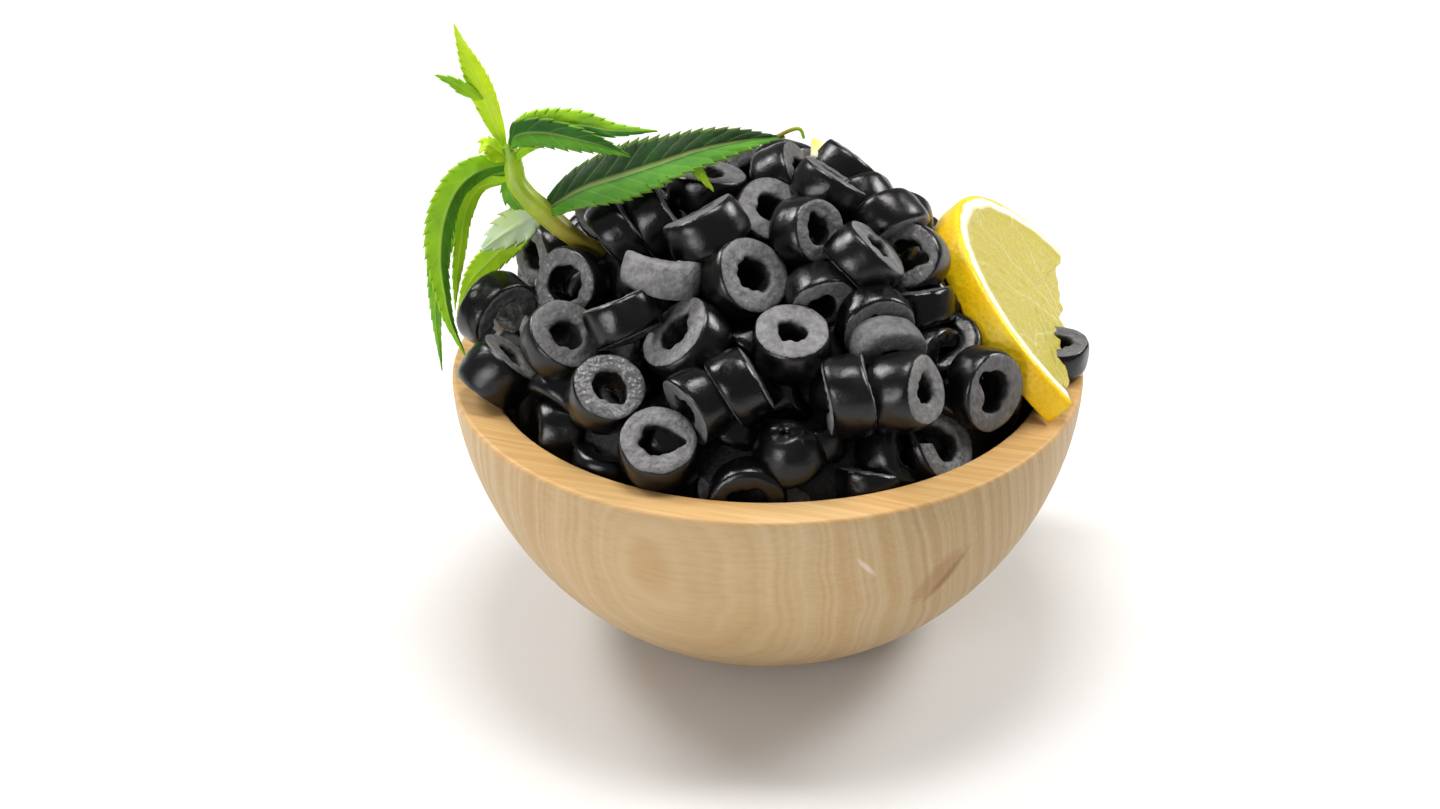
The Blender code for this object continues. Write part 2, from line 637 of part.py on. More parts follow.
def build():
    """Model the dish."""
    for item in list(bpy.data.objects):
        bpy.data.objects.remove(item)
    dish = bpy.data.collections.new("dish_of_olives")
    rings = bpy.data.collections.new("olive_rings")
    clearance = bpy.data.collections.new("clearance")
    leaves = bpy.data.collections.new("leaves")
    for collection in (dish, rings, clearance, leaves):
        bpy.context.scene.collection.children.link(collection)

    wood = material("turned beech", (0.68, 0.48, 0.27), 0.5)
    olive = material("black olive", (0.02, 0.018, 0.018), 0.3)
    lemon = material("lemon", (0.85, 0.66, 0.05), 0.45)
    mint = material("mint leaf", (0.16, 0.42, 0.04), 0.5)

    bowl = turned("bowl", bowl_profile(), BOWL_STEPS, dish)
    finish_piece(bowl, wood)

    # What the heap keeps clear of: the bowl, the lemon and the sprig, each grown
    for item in [turned("bowl_clearance", bowl_profile(GAP), BOWL_STEPS, clearance),
                 half_slice("slice_clearance", LEMON_FRONT, GAP, clearance),
                 half_slice("slice_back_clearance", LEMON_BACK, GAP, clearance)]:
        as_cutter(item)
    for item in mint_parts(GAP, clearance):
        as_cutter(item)

    pattern = unit_ring(rings)
    rim_ring, *heap_rings = zip(*settled_rings())
    spare = as_cutter(add_object("rim_ring_clearance", pattern, clearance))
    spare.matrix_world = ring_matrix(*rim_ring, GAP)
    for number, place in enumerate(heap_rings):
        ring = as_cutter(add_object(f"ring_{number:02d}", pattern, rings))
        ring.matrix_world = ring_matrix(*place)
    core = heap_core(dish)
    join_solids(core, rings, "UNION", "MANIFOLD")
    join_solids(core, clearance, "DIFFERENCE", "MANIFOLD")
    heap_mesh = largest_shell(evaluated_mesh(core))
    bpy.data.objects.remove(core)
    finish_piece(add_object("olive_heap", heap_mesh, dish), olive)

    for name, place in (("lemon_slice", LEMON_FRONT), ("lemon_slice_back", LEMON_BACK)):
        finish_piece(half_slice(name, place, 0, dish), lemon)

    stalk, *blades = mint_parts(0, leaves)
    leaves.objects.unlink(stalk)
    dish.objects.link(stalk)
    for blade in blades:
        as_cutter(blade)
    join_solids(stalk, leaves, "UNION")
    sprig_mesh = largest_shell(evaluated_mesh(stalk))
    bpy.data.objects.remove(stalk)
    finish_piece(add_object("mint_sprig", sprig_mesh, dish), mint)

    # The lemon slice lies where the rim's ring is broken off
    lone_ring = add_object("olive_on_rim", pattern.copy(), dish)
    lone_ring.data.transform(ring_matrix(*rim_ring))
    broken = lone_ring.modifiers.new("broken off", "BOOLEAN")
    broken.object = clearance.objects["slice_clearance"]
    ring_mesh = largest_shell(evaluated_mesh(lone_ring))
    bpy.data.objects.remove(lone_ring)
    finish_piece(add_object("olive_on_rim", ring_mesh, dish), olive)


build()
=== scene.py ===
# %% [markdown]
# # A dish of sliced black olives
#
# A small turned beech bowl, heaped with sliced black olives and dressed with
# two half slices of lemon and a sprig of mint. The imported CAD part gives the
# frame: every piece here lies where its solid lies, in metres, with +Z up and
# the middle of the bowl's foot at the origin. Food has no joints, so every
# piece rides on the one body, "root".

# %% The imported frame
import math
import random

import bmesh
import bpy
import numpy as np
from mathutils import Matrix, Vector


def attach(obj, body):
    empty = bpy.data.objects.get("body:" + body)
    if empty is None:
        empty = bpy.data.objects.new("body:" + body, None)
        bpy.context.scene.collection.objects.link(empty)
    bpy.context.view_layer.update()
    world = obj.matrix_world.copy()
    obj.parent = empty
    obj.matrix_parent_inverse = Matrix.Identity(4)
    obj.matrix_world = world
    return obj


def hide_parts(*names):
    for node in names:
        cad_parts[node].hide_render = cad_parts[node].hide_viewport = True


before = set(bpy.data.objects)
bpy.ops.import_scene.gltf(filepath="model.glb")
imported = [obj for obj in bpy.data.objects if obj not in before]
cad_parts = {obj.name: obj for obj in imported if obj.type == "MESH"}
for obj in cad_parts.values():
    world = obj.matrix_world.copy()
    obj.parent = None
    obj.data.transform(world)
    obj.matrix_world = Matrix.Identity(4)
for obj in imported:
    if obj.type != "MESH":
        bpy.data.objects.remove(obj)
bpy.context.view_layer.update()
MM = 0.001
print("CAD nodes:", ", ".join(sorted(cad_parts)))

# %% [markdown]
# ## Small helpers
#
# Colours are picked as sRGB hex codes, the way a colour picker shows them, but
# shaders add light in linear numbers, so one function turns one into the other.
# Another adds a shader node with its settings and links in one line. A third
# turns arrays of points and faces into an object. The rest are as small: they
# fill in a node's inputs, start a material, number the squares of a grid, make
# a surface a little uneven, and print what was made.

# %% Helpers for colours, nodes and meshes
def linear(code):
    """An sRGB hex code as linear RGBA.

    Each share under 0.04045 is divided by 12.92. Any other has 0.055 added, is
    divided by 1.055 and is raised to the power 2.4.
    """
    shares = [int(code[start:start + 2], 16) / 255 for start in (1, 3, 5)]
    return (*[s / 12.92 if s < 0.04045 else ((s + 0.055) / 1.055) ** 2.4 for s in shares], 1)


def connect(tree, target, inputs):
    """Give a node's inputs their values, or link them to other nodes' outputs.

    A colour is given as its hex code.
    """
    for name, value in inputs.items():
        if isinstance(value, bpy.types.NodeSocket):
            tree.links.new(value, target.inputs[name])
        else:
            target.inputs[name].default_value = linear(value) if isinstance(value, str) else value


def node(tree, kind, inputs, out=0, stops=(), **settings):
    """Add a shader node with its settings and inputs, and return one output.

    The stops of a colour ramp are pairs of a place and a colour's hex code.
    """
    added = tree.nodes.new("ShaderNode" + kind)
    for name, value in settings.items():
        setattr(added, name, value)
    for number, (place, colour) in enumerate(stops):
        ramp = added.color_ramp.elements
        if number == 0:
            ramp.remove(ramp[1])
            ramp[0].position = place
        stop = ramp[0] if number == 0 else ramp.new(place)
        stop.color = linear(colour)
    connect(tree, added, inputs)
    return added.outputs[out]


def new_finish(name):
    """An empty material, its node tree and its Principled shader."""
    finish = bpy.data.materials.new(name)
    finish.use_nodes = True
    return finish, finish.node_tree, finish.node_tree.nodes["Principled BSDF"]


def new_piece(name, points, faces, finish, **attributes):
    """An object from an array of points and its faces.

    Each attribute is an array of one number, or one vector, per point. Points
    that fall together, as at a pole, become one, which turns the squares round
    a pole into triangles. A shell that holds a negative volume is inside out,
    so its faces are turned round.
    """
    mesh = bpy.data.meshes.new(name)
    mesh.from_pydata(points.reshape(-1, 3), [], faces)
    for label, values in attributes.items():
        form = "FLOAT_VECTOR" if values.size > len(mesh.vertices) else "FLOAT"
        layer = mesh.attributes.new(label, form, "POINT")
        layer.data.foreach_set("vector" if form == "FLOAT_VECTOR" else "value",
                               values.astype(np.float32).ravel())
    mesh.shade_smooth()
    mesh.materials.append(finish)
    shape = bmesh.new()
    shape.from_mesh(mesh)
    bmesh.ops.remove_doubles(shape, verts=shape.verts, dist=0.001 * MM)
    if shape.calc_volume(signed=True) < 0:
        bmesh.ops.reverse_faces(shape, faces=shape.faces)
    shape.to_mesh(mesh)
    shape.free()
    item = bpy.data.objects.new(name, mesh)
    bpy.context.scene.collection.objects.link(item)
    return item


def grid_faces(rows, columns, close_rows=False, close_columns=True):
    """The squares of a grid of points, numbered along its rows.

    Each joins a point with its neighbours in the next column and the next row.
    In a closed direction the last points are joined to the first.
    """
    numbers = np.arange(rows * columns).reshape(rows, columns)
    if close_rows:
        numbers = np.vstack([numbers, numbers[:1]])
    if close_columns:
        numbers = np.hstack([numbers, numbers[:, :1]])
    return np.stack([numbers[:-1, :-1], numbers[:-1, 1:], numbers[1:, 1:], numbers[1:, :-1]],
                    axis=-1).reshape(-1, 4)


RIPPLE_PEAK = 1.6               # how high the crests of such a sum of sines stand


def ripples(places, size, seed, waves=7):
    """Smooth unevenness from about -1 to 1, the same each time.

    It is the sum of sines that run in random directions, with wavelengths near
    the size given, divided by the root of half their number and by the peak.
    """
    draw = np.random.default_rng(seed)
    ways = draw.normal(size=(waves, 3))
    ways *= math.tau / size / np.linalg.norm(ways, axis=1, keepdims=True)
    ways *= draw.uniform(0.6, 1.6, (waves, 1))
    phases = draw.uniform(0, math.tau, waves)
    return np.sin(places @ ways.T + phases).sum(axis=-1) / math.sqrt(waves / 2) / RIPPLE_PEAK


def tell(item):
    """Print a piece's faces and its size in millimetres."""
    low, high = np.array(item.bound_box).min(axis=0), np.array(item.bound_box).max(axis=0)
    print(f"{item.name}: {len(item.data.polygons)} faces,", np.round((high - low) / MM, 1), "mm")


# %% [markdown]
# ## Camera, floor and light
#
# The dish is seen from a little above, 28 degrees over the level of the table,
# with a long lens, so the rim is a calm ellipse. The camera is set first. The
# floor is white card. A soft box hangs overhead and one stands at each side, a
# little behind: they draw small bright shapes on the wet olives and leave a soft
# shadow under the bowl. A broad one, farther off at the front left, keeps the
# near side from going dull.

# %% Camera
RIM_HEIGHT = 54 * MM
VIEW_HEIGHT = math.radians(28)
VIEW_DISTANCE = 617.6 * MM
camera_data = bpy.data.cameras.new("camera")
camera_data.lens = 81.25
camera_data.sensor_width = 36
camera_data.shift_x = -0.0332
camera_data.shift_y = -0.0296
camera_data.clip_start = 0.01
camera = bpy.data.objects.new("camera", camera_data)
camera.location = (0, -VIEW_DISTANCE * math.cos(VIEW_HEIGHT),
                   RIM_HEIGHT + VIEW_DISTANCE * math.sin(VIEW_HEIGHT))
camera.rotation_euler = (math.radians(90) - VIEW_HEIGHT, 0, 0)
bpy.context.scene.collection.objects.link(camera)
bpy.context.scene.camera = camera
bpy.context.scene.view_settings.view_transform = "Standard"
print("camera at", np.round(np.array(camera.location), 4))

# %% Floor, lamps and background
card, tree, shader = new_finish("white_card")
connect(tree, shader, {"Base Color": "#e9e9e8", "Roughness": 0.75, "Specular IOR Level": 0.2})
FLOOR_REACH = 3.0
corners = np.array([(x, y, 0) for x in (-FLOOR_REACH, FLOOR_REACH)
                    for y in (-FLOOR_REACH, FLOOR_REACH)], float)
floor = new_piece("floor", corners, [(0, 2, 3, 1)], card)

LAMPS = {  # place, the point it faces, width and depth in metres, watts, colour
    "overhead_box": ((0.00, 0.06, 0.75), (0, 0, 0.05), (0.30, 0.22), 3.3, "#fffdfa"),
    "left_box": ((-0.42, 0.22, 0.50), (0, 0, 0.06), (0.24, 0.20), 2.6, "#ffffff"),
    "right_box": ((0.46, 0.18, 0.45), (0, 0, 0.06), (0.24, 0.20), 2.6, "#ffffff"),
    "front_fill": ((-0.62, -0.76, 0.30), (0, 0, 0.05), (0.50, 0.34), 4.2, "#fdfbff"),
}
for name, (place, aim, size, power, colour) in LAMPS.items():
    lamp_data = bpy.data.lights.new(name, "AREA")
    lamp_data.shape = "RECTANGLE"
    lamp_data.size, lamp_data.size_y = size
    lamp_data.energy = power
    lamp_data.color = linear(colour)[:3]
    lamp = bpy.data.objects.new(name, lamp_data)
    lamp.location = place
    lamp.rotation_euler = (Vector(aim) - Vector(place)).to_track_quat("-Z", "Y").to_euler()
    bpy.context.scene.collection.objects.link(lamp)

world = bpy.data.worlds.new("studio")
world.use_nodes = True
connect(world.node_tree, world.node_tree.nodes["Background"],
        {"Color": "#f4f6f8", "Strength": 0.24})
bpy.context.scene.world = world
print(len(LAMPS), "lamps")

# %% [markdown]
# ## The bowl
#
# The bowl is turned on a lathe from one thick piece of beech: a flat rim 7.6 mm
# wide over a full, round belly that narrows to a small foot. A turned thing is a
# profile carried round an axis, so its surface is a function of two numbers,
# the turn and the place along the profile. The wall follows a superellipse,
# which is a quarter ellipse whose fullness can be set.

# %% Shape of the bowl
RIM_RADIUS = 59.79 * MM
RIM_WIDTH = 7.6 * MM
RIM_ROUNDING = 0.8 * MM
FOOT_RADIUS = 13.8 * MM
FLOOR_THICKNESS = 9 * MM
OUTER_FULLNESS, INNER_FULLNESS = 1.78, 1.9
HOLLOW_ROWS, BELLY_ROWS, BOWL_TURNS = 44, 54, 216
CLEAR_OF_ROUNDING = 0.3 * MM    # the walls' points end this far under the rim's rounding
mouth = RIM_RADIUS - RIM_WIDTH


def wall(rows, fullness):
    """Shares of radius and height up a rounded wall, from its axis to its rim.

    The radius is sin(a) and the depth under the rim is cos(a), both to the
    power 2 / fullness, while a runs from nought to a right angle.
    """
    angles = np.linspace(0, math.pi / 2, rows)
    return np.sin(angles) ** (2 / fullness), 1 - np.cos(angles) ** (2 / fullness)


def quarter_turn(centre, start, steps=7):
    """Points of a quarter circle of the rim's rounding, from an angle in degrees, backwards."""
    angles = np.radians(np.linspace(start, start - 90, steps))
    return np.stack([centre[0] + RIM_ROUNDING * np.cos(angles),
                     centre[1] + RIM_ROUNDING * np.sin(angles)], axis=1)


def bowl_profile():
    """The section from the middle of the hollow, over the rim, to the middle of the foot."""
    radius, height = wall(HOLLOW_ROWS, INNER_FULLNESS)
    hollow = np.stack([mouth * radius, FLOOR_THICKNESS
                       + (RIM_HEIGHT - FLOOR_THICKNESS) * height], axis=1)
    radius, height = wall(BELLY_ROWS, OUTER_FULLNESS)
    belly = np.stack([FOOT_RADIUS + (RIM_RADIUS - FOOT_RADIUS) * radius,
                      RIM_HEIGHT * height], axis=1)[::-1]
    under = RIM_HEIGHT - RIM_ROUNDING
    foot = [(FOOT_RADIUS * share, 0) for share in (0.96, 0.7, 0.35, 0)]
    return np.concatenate([hollow[hollow[:, 1] < under - CLEAR_OF_ROUNDING],
                           quarter_turn((mouth + RIM_ROUNDING, under), 180),
                           quarter_turn((RIM_RADIUS - RIM_ROUNDING, under), 90),
                           belly[belly[:, 1] < under - CLEAR_OF_ROUNDING], foot])


def turned_points(profile, steps):
    """A profile of radius and height carried round the axis Z.

    The point at turn a is (radius cos a, radius sin a, height).
    """
    turn = np.linspace(0, math.tau, steps, endpoint=False)
    radius, height = profile[:, :1], profile[:, 1:]
    return np.stack([radius * np.cos(turn), radius * np.sin(turn),
                     height * np.ones_like(turn)], axis=-1)


print("bowl profile of", len(bowl_profile()), "points")

# %% [markdown]
# ## Turned beech
#
# Beech is a pale, close-grained wood, here sanded and barely oiled, so it is
# nearly matt. Three things make it beech and not plain tan paint. The tree's
# growth rings, from half a millimetre to a millimetre and a half apart, are
# cylinders round the trunk's pith, and where they cross the round belly they
# show as long ovals. Fine fibres run along the trunk, which goes from left to
# right through this bowl. And two small blemishes stay in it: a slanting brown
# knot stain with a darker line, and a pale scratch. The rim's flat is warmer
# than the belly. All of it is worked out from Object coordinates, as if the
# pattern went through the solid block.

# %% Turned beech, sanded and oiled
beech, tree, shader = new_finish("turned_beech_sanded_and_oiled")
place = node(tree, "TexCoord", {}, out=3)
# The trunk runs left to right, and its pith passes over the back of the bowl, so
# that a ring just touches the belly at the front left
PITH = (10 * MM, 31 * MM, 67.5 * MM)
TRUNK_HEADING = math.radians(-18)
in_trunk = node(tree, "Mapping", {"Vector": place, "Location": PITH,
                                  "Rotation": (0, 0, TRUNK_HEADING)}, vector_type="TEXTURE")
wander = node(tree, "TexNoise", {"Vector": place, "Scale": 26.0, "Detail": 2.0})
wander = node(tree, "Math", {0: wander, 1: 5.0 * MM}, operation="MULTIPLY")
across_trunk = node(tree, "VectorMath", {0: in_trunk, 1: (0, 1, 1)}, operation="MULTIPLY")
from_pith = node(tree, "VectorMath", {0: across_trunk}, out=1, operation="LENGTH")
from_pith = node(tree, "Math", {0: from_pith, 1: wander}, operation="ADD")


def growth_rings(spacing, detail):
    """Uneven bands at about a spacing in millimetres: noise along the distance from the pith."""
    count = node(tree, "Math", {0: from_pith, 1: 1 / (spacing * MM)}, operation="MULTIPLY")
    return node(tree, "TexNoise", {"W": count, "Scale": 1.0, "Detail": detail},
                noise_dimensions="1D")


clouds = node(tree, "TexNoise", {"Vector": place, "Scale": 28.0, "Detail": 3.0})
fibre_place = node(tree, "Mapping", {"Vector": in_trunk, "Scale": (110, 1300, 1300)})
fibres = node(tree, "TexNoise", {"Vector": fibre_place, "Scale": 1.0, "Detail": 3.0})
belly = node(tree, "ValToRGB", {0: clouds}, stops=[
    (0.30, "#bca47d"), (0.50, "#c4ab82"), (0.72, "#cab38c")])
rim_wood = node(tree, "ValToRGB", {0: clouds}, stops=[
    (0.32, "#cca66b"), (0.55, "#d3af78"), (0.75, "#daba86")])
# The rim's flat shows warmer wood than the belly does
height = node(tree, "SeparateXYZ", {"Vector": place}, out=2)
on_rim = node(tree, "MapRange", {"Value": height, "From Min": 53.0 * MM, "From Max": 53.6 * MM})
wood = node(tree, "Mix", {0: on_rim, 6: belly, 7: rim_wood}, out=2, data_type="RGBA")
# Each pattern, where its dark and its light begin, its dark tint, and its strength
for pattern, low, high, dark, strength in (
        (growth_rings(1.6, 2.0), 0.40, 0.62, "#e6d0ae", 0.46),
        (growth_rings(0.6, 1.0), 0.36, 0.64, "#efe2cf", 0.32),
        (fibres, 0.36, 0.60, "#e6d6bd", 0.22)):
    tint = node(tree, "ValToRGB", {0: pattern}, stops=[(low, dark), (high, "#ffffff")])
    wood = node(tree, "Mix", {0: strength, 6: wood, 7: tint}, out=2, data_type="RGBA",
                blend_type="MULTIPLY")


def blemish(centre, turn, half_size, soft):
    """How far inside a turned ellipsoid a point is, from 0 outside to 1 inside.

    The point is taken from the ellipsoid's middle, turned back and divided by
    its half lengths in millimetres, and the length of that is compared with one.
    """
    inside = node(tree, "Mapping", {
        "Vector": place, "Location": [value * MM for value in centre],
        "Rotation": [math.radians(angle) for angle in turn],
        "Scale": [value * MM for value in half_size]}, vector_type="TEXTURE")
    far = node(tree, "VectorMath", {0: inside}, out=1, operation="LENGTH")
    ragged = node(tree, "Math", {0: fibres, 1: 0.6, 2: -0.3}, operation="MULTIPLY_ADD")
    far = node(tree, "Math", {0: far, 1: ragged}, operation="ADD")
    return node(tree, "MapRange", {"Value": far, "From Min": 1 + soft, "From Max": 1 - soft})


# The knot's stain, the darker line in it, and the scratch: middle in millimetres,
# turn in degrees, half lengths in millimetres, softness, colour and strength
BLEMISHES = [
    ((30.8, -46.6, 34.0), (0, 27, 34), (3.2, 5, 7.0), 0.28, "#a37a48", 0.58),
    ((32.6, -45.4, 33.5), (0, 27, 34), (0.9, 5, 6.0), 0.5, "#7f5930", 0.60),
    ((17.5, -55.6, 42.3), (0, -38, 16), (0.45, 4, 2.6), 0.5, "#f3ead8", 0.48),
]
for centre, turn, half_size, soft, colour, strength in BLEMISHES:
    mark = blemish(centre, turn, half_size, soft)
    mark = node(tree, "Math", {0: mark, 1: strength}, operation="MULTIPLY")
    wood = node(tree, "Mix", {0: mark, 6: wood, 7: colour}, out=2, data_type="RGBA")
sheen = node(tree, "MapRange", {"Value": clouds, "To Min": 0.42, "To Max": 0.58})
relief = node(tree, "Bump", {"Height": fibres, "Strength": 0.08, "Distance": 0.15 * MM})
connect(tree, shader, {"Base Color": wood, "Roughness": sheen, "Normal": relief,
                       "Specular IOR Level": 0.35})
print(beech.name, "has", len(tree.nodes), "nodes")

# %% The bowl's mesh
points = turned_points(bowl_profile(), BOWL_TURNS)
bowl = new_piece("beech_bowl", points, grid_faces(*points.shape[:2]), beech)
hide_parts("bowl")
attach(bowl, "root")
tell(bowl)

# %% [markdown]
# ## Where the olive rings lie
#
# Some forty rings are placed one by one, where they show best; each has a place,
# the way its axis points, a diameter and a thickness. The rest fill a sunflower
# spiral over a dome. A heap looks real when nothing in it floats or plainly cuts
# through its neighbour, so all the rings are then settled: each stands for two
# circles of small balls that push each other apart, which moves and tips the
# rings. The imported part is made from the same list and the same sum, so the
# rings end where its do. The one that lies on the rim stays where it is put.

# %% The rings that show best
# Right, back and height over the rim in millimetres, the axis's heading and
# lift in degrees, then the outer diameter and the thickness
NAMED_RINGS = [
    (-38.2, -20, 14.4, -38, 51, 14.5, 8.0),
    (-36, -7, 20, -120, 25, 14.0, 8.0),
    (-28.9, -34, 11.2, -66, 52, 14.0, 8.0),
    (-18.4, -42, 4.8, -90, 64, 15.0, 9.0),
    (-51, -1, 11.2, -47, -8, 15.5, 7.0),
    (-50, -14, 5, 15, 50, 14.0, 9.0),
    (-42, 14, 16, -145, 5, 14.0, 8.0),
    (-25, -23, 20, 120, 55, 14.5, 8.0),
    (-18.9, -17, 26, 70, 60, 15.5, 7.0),
    (-14.7, -27, 18.6, -163, 51, 16.5, 8.0),
    (-36, -26, -2, 10, 5, 14.0, 8.0),
    (-30, -33, -4, 45, 77, 15.0, 8.0),
    (-26, -2, 29, 10, 41, 15.5, 7.5),
    (-19, -2, 31, 10, 41, 15.5, 7.5),
    (-10, -8, 32, 155, 63, 15.5, 8.0),
    (-12, 4, 33, 90, 80, 15.0, 7.5),
    (-0.9, -3, 32.2, -45, 60, 15.5, 7.5),
    (7.5, -10, 31.8, -45, 24, 13.0, 8.5),
    (17, -13, 29, 10, 44, 14.5, 8.0),
    (18, 3, 32, -55, -48, 15.0, 8.0),
    (22, -4, 30, -45, -40, 14.5, 7.5),
    (25, -8, 27.4, -115, 35, 13.5, 7.5),
    (-5.5, -18, 27.1, -45, 37, 15.8, 8.0),
    (9.7, -20, 23.9, -83, -11, 13.0, 8.0),
    (19.4, -22, 20.5, -76, -15, 14.0, 7.0),
    (21.4, -28, 17.3, -69, -12, 14.0, 7.0),
    (4.7, -30, 19.5, -90, 73, 14.7, 8.0),
    (-5, -38, 15, 10, 30, 14.5, 7.0),
    (-12, -39, 13, -148, -15, 14.0, 7.0),
    (15.1, -37, 14, -178, -5, 15.5, 8.0),
    (24.3, -36, 13, -25, 24, 15.0, 9.5),
    (38.8, -27, 8.5, -48, 7, 15.5, 7.5),
    (29.7, -35, 0.5, -30, 40, 15.5, 8.0),
    (3.2, -44, 6, -100, 78, 14.5, 8.0),
    (7.1, -41, -1.5, -70, 30, 14.0, 7.5),
    (-7.5, -41, -5, -60, 50, 13.0, 6.0),
    (18, -42, -3, 90, 72, 13.0, 7.0),
    (28.5, -21.5, 13.5, -30, 20, 14.5, 8.0),
    (27, -14.5, 19, 85, 75, 14.0, 7.5),
    (5, 11, 35, 5, 36, 15.0, 8.0),
    (14, 15, 32.5, 40, 48, 15.0, 8.0),
    (11, 3, 34, 30, 55, 15.0, 7.0),
]
# The broken ring that lies flat on the rim at the right, half under the front slice
RIM_RING = (54.0, -4, 3.9, 20, 86, 13.2, 6.2)
LEMON_RADIUS, LEMON_THICKNESS, LEMON_CUT = 31.8 * MM, 6.0 * MM, 0.6 * MM
LEMON_ROOM = 6 * MM             # fill rings are laid at least this far behind the front slice
# Lemon half slices: face centre, face heading and lift, and the roll of the arc
LEMON_FRONT = ((57.6, 6.8, 4.2), -3.3, 44, 0.8)
LEMON_BACK = ((-1.2, 24.1, 10.5), 90, 12, 107)
print(len(NAMED_RINGS), "rings placed by hand")

# %% The dome, and the first laying
GAP, TOUCH = 0.3 * MM, 0.01 * MM
APEX = (11 * MM, 12 * MM)
SHOULDER = 51 * MM
HEAP_FOOT, HEAP_RISE, LEFT_LIFT = 3 * MM, 35 * MM, 3 * MM
HEAP_FULLNESS, LEFT_FULLNESS, BACK_FULLNESS = 1.9, 1.2, -1.0
RING_RADIUS, RING_THICKNESS = 7.4 * MM, 7.8 * MM
FILL_COUNT, FILL_SPACING, NAMED_SPACING = 68, 9.5 * MM, 12.5 * MM
GOLDEN_ANGLE = math.pi * (3 - math.sqrt(5))


def heap_height(x, y):
    """Height over the rim of the ring centres: a dome that leans to its apex.

    Along each line from the apex to the shoulder circle it falls with the
    distance's share to a power, which is higher on the left than behind.
    """
    right, behind = x - APEX[0], y - APEX[1]
    distance = math.hypot(right, behind)
    if distance < TOUCH:
        return HEAP_RISE
    right, behind = right / distance, behind / distance
    along = APEX[0] * right + APEX[1] * behind
    reach = math.sqrt(along ** 2 - APEX[0] ** 2 - APEX[1] ** 2 + SHOULDER ** 2) - along
    backness = max(0, behind)
    leftness = max(0, -right) ** 2 * (1 - backness)
    foot = HEAP_FOOT + LEFT_LIFT * leftness
    fullness = HEAP_FULLNESS + LEFT_FULLNESS * leftness + BACK_FULLNESS * backness
    return foot + (HEAP_RISE - foot) * (1 - min(distance / reach, 1.1) ** fullness)


def direction(heading, lift):
    """The unit vector with a heading about Z from +X, and a lift, in degrees."""
    heading, lift = math.radians(heading), math.radians(lift)
    flat = math.cos(lift)
    return (flat * math.cos(heading), flat * math.sin(heading), math.sin(lift))


def slice_frame(place):
    """A half slice's face centre, and its cut's, its arc's and its face's directions."""
    centre, heading, lift, roll = place
    face = Vector(direction(heading, lift))
    steep = (Vector((0, 0, 1)) - face * face.z).normalized()
    arc = Matrix.Rotation(math.radians(roll), 3, face) @ steep
    middle = Vector((centre[0] * MM, centre[1] * MM, RIM_HEIGHT + centre[2] * MM))
    return middle, arc.cross(face), arc, face


def over_slice(place):
    """Whether a ring's place is over the front lemon slice, or close behind it."""
    middle, across, arc, face = slice_frame(LEMON_FRONT)
    offset = Vector(place) - middle
    flat = math.hypot(offset @ across, offset @ arc)
    return flat < LEMON_RADIUS and offset @ face > -LEMON_THICKNESS - LEMON_ROOM


def spiral(count):
    """Places of a sunflower spiral over the dome, from its apex to its shoulder.

    Place k lies at k golden angles round, at the root of k's share of the way out.
    """
    for number in range(count):
        share = math.sqrt((number + 0.5) / count)
        angle = number * GOLDEN_ANGLE
        yield (APEX[0] + (SHOULDER * math.cos(angle) - APEX[0]) * share,
               APEX[1] + (SHOULDER * math.sin(angle) - APEX[1]) * share)


def laid_rings():
    """Centres, axes, radii with thicknesses, and yields of the rings as first laid."""
    draw = random.Random(4)
    named = [RIM_RING] + NAMED_RINGS
    centres = [(x * MM, y * MM, RIM_HEIGHT + z * MM) for x, y, z, *_ in named]
    axes = [direction(ring[3], ring[4]) for ring in named]
    sizes = [(ring[5] * MM / 2, ring[6] * MM) for ring in named]
    for x, y in spiral(FILL_COUNT):
        place = (x, y, RIM_HEIGHT + heap_height(x, y))
        axis = direction(draw.uniform(-180, 180), draw.uniform(-10, 85))
        size = (RING_RADIUS * draw.uniform(0.93, 1.06), RING_THICKNESS * draw.uniform(0.88, 1.1))
        apart = [math.dist(place, other) for other in centres]
        if (min(apart) > FILL_SPACING and min(apart[:len(named)]) > NAMED_SPACING
                and not over_slice(place)):
            centres.append(place)
            axes.append(axis)
            sizes.append(size)
    yields = np.ones(len(centres))
    yields[:len(named)] = NAMED_YIELD
    return np.array(centres), np.array(axes), np.array(sizes), yields


BALL_RADIUS, BALLS_ROUND = 2.3 * MM, 8
RISE_LIMIT, HOLD, NAMED_YIELD = 1 * MM, 0.06, 0.1
laid = laid_rings()
print(len(laid[0]), "rings laid")

# %% [markdown]
# ## Settling the rings
#
# A physics engine could drop the rings, but they would land anywhere. Pushing
# them apart from chosen places keeps the arrangement, and leaves the rings
# leaning on one another, pressed in by a millimetre or two where the heap is
# tight, as soft olives are. Each round adds up the pushes on a ring's balls.
# Their mean moves the ring, their turning moment tips its axis, and a weak pull
# holds it near where it was laid.

# %% Pushes from the bowl and the lemon
BALL_MOUTH = 52.4 * MM - GAP    # the hollow's radius at the rim, as the balls meet it


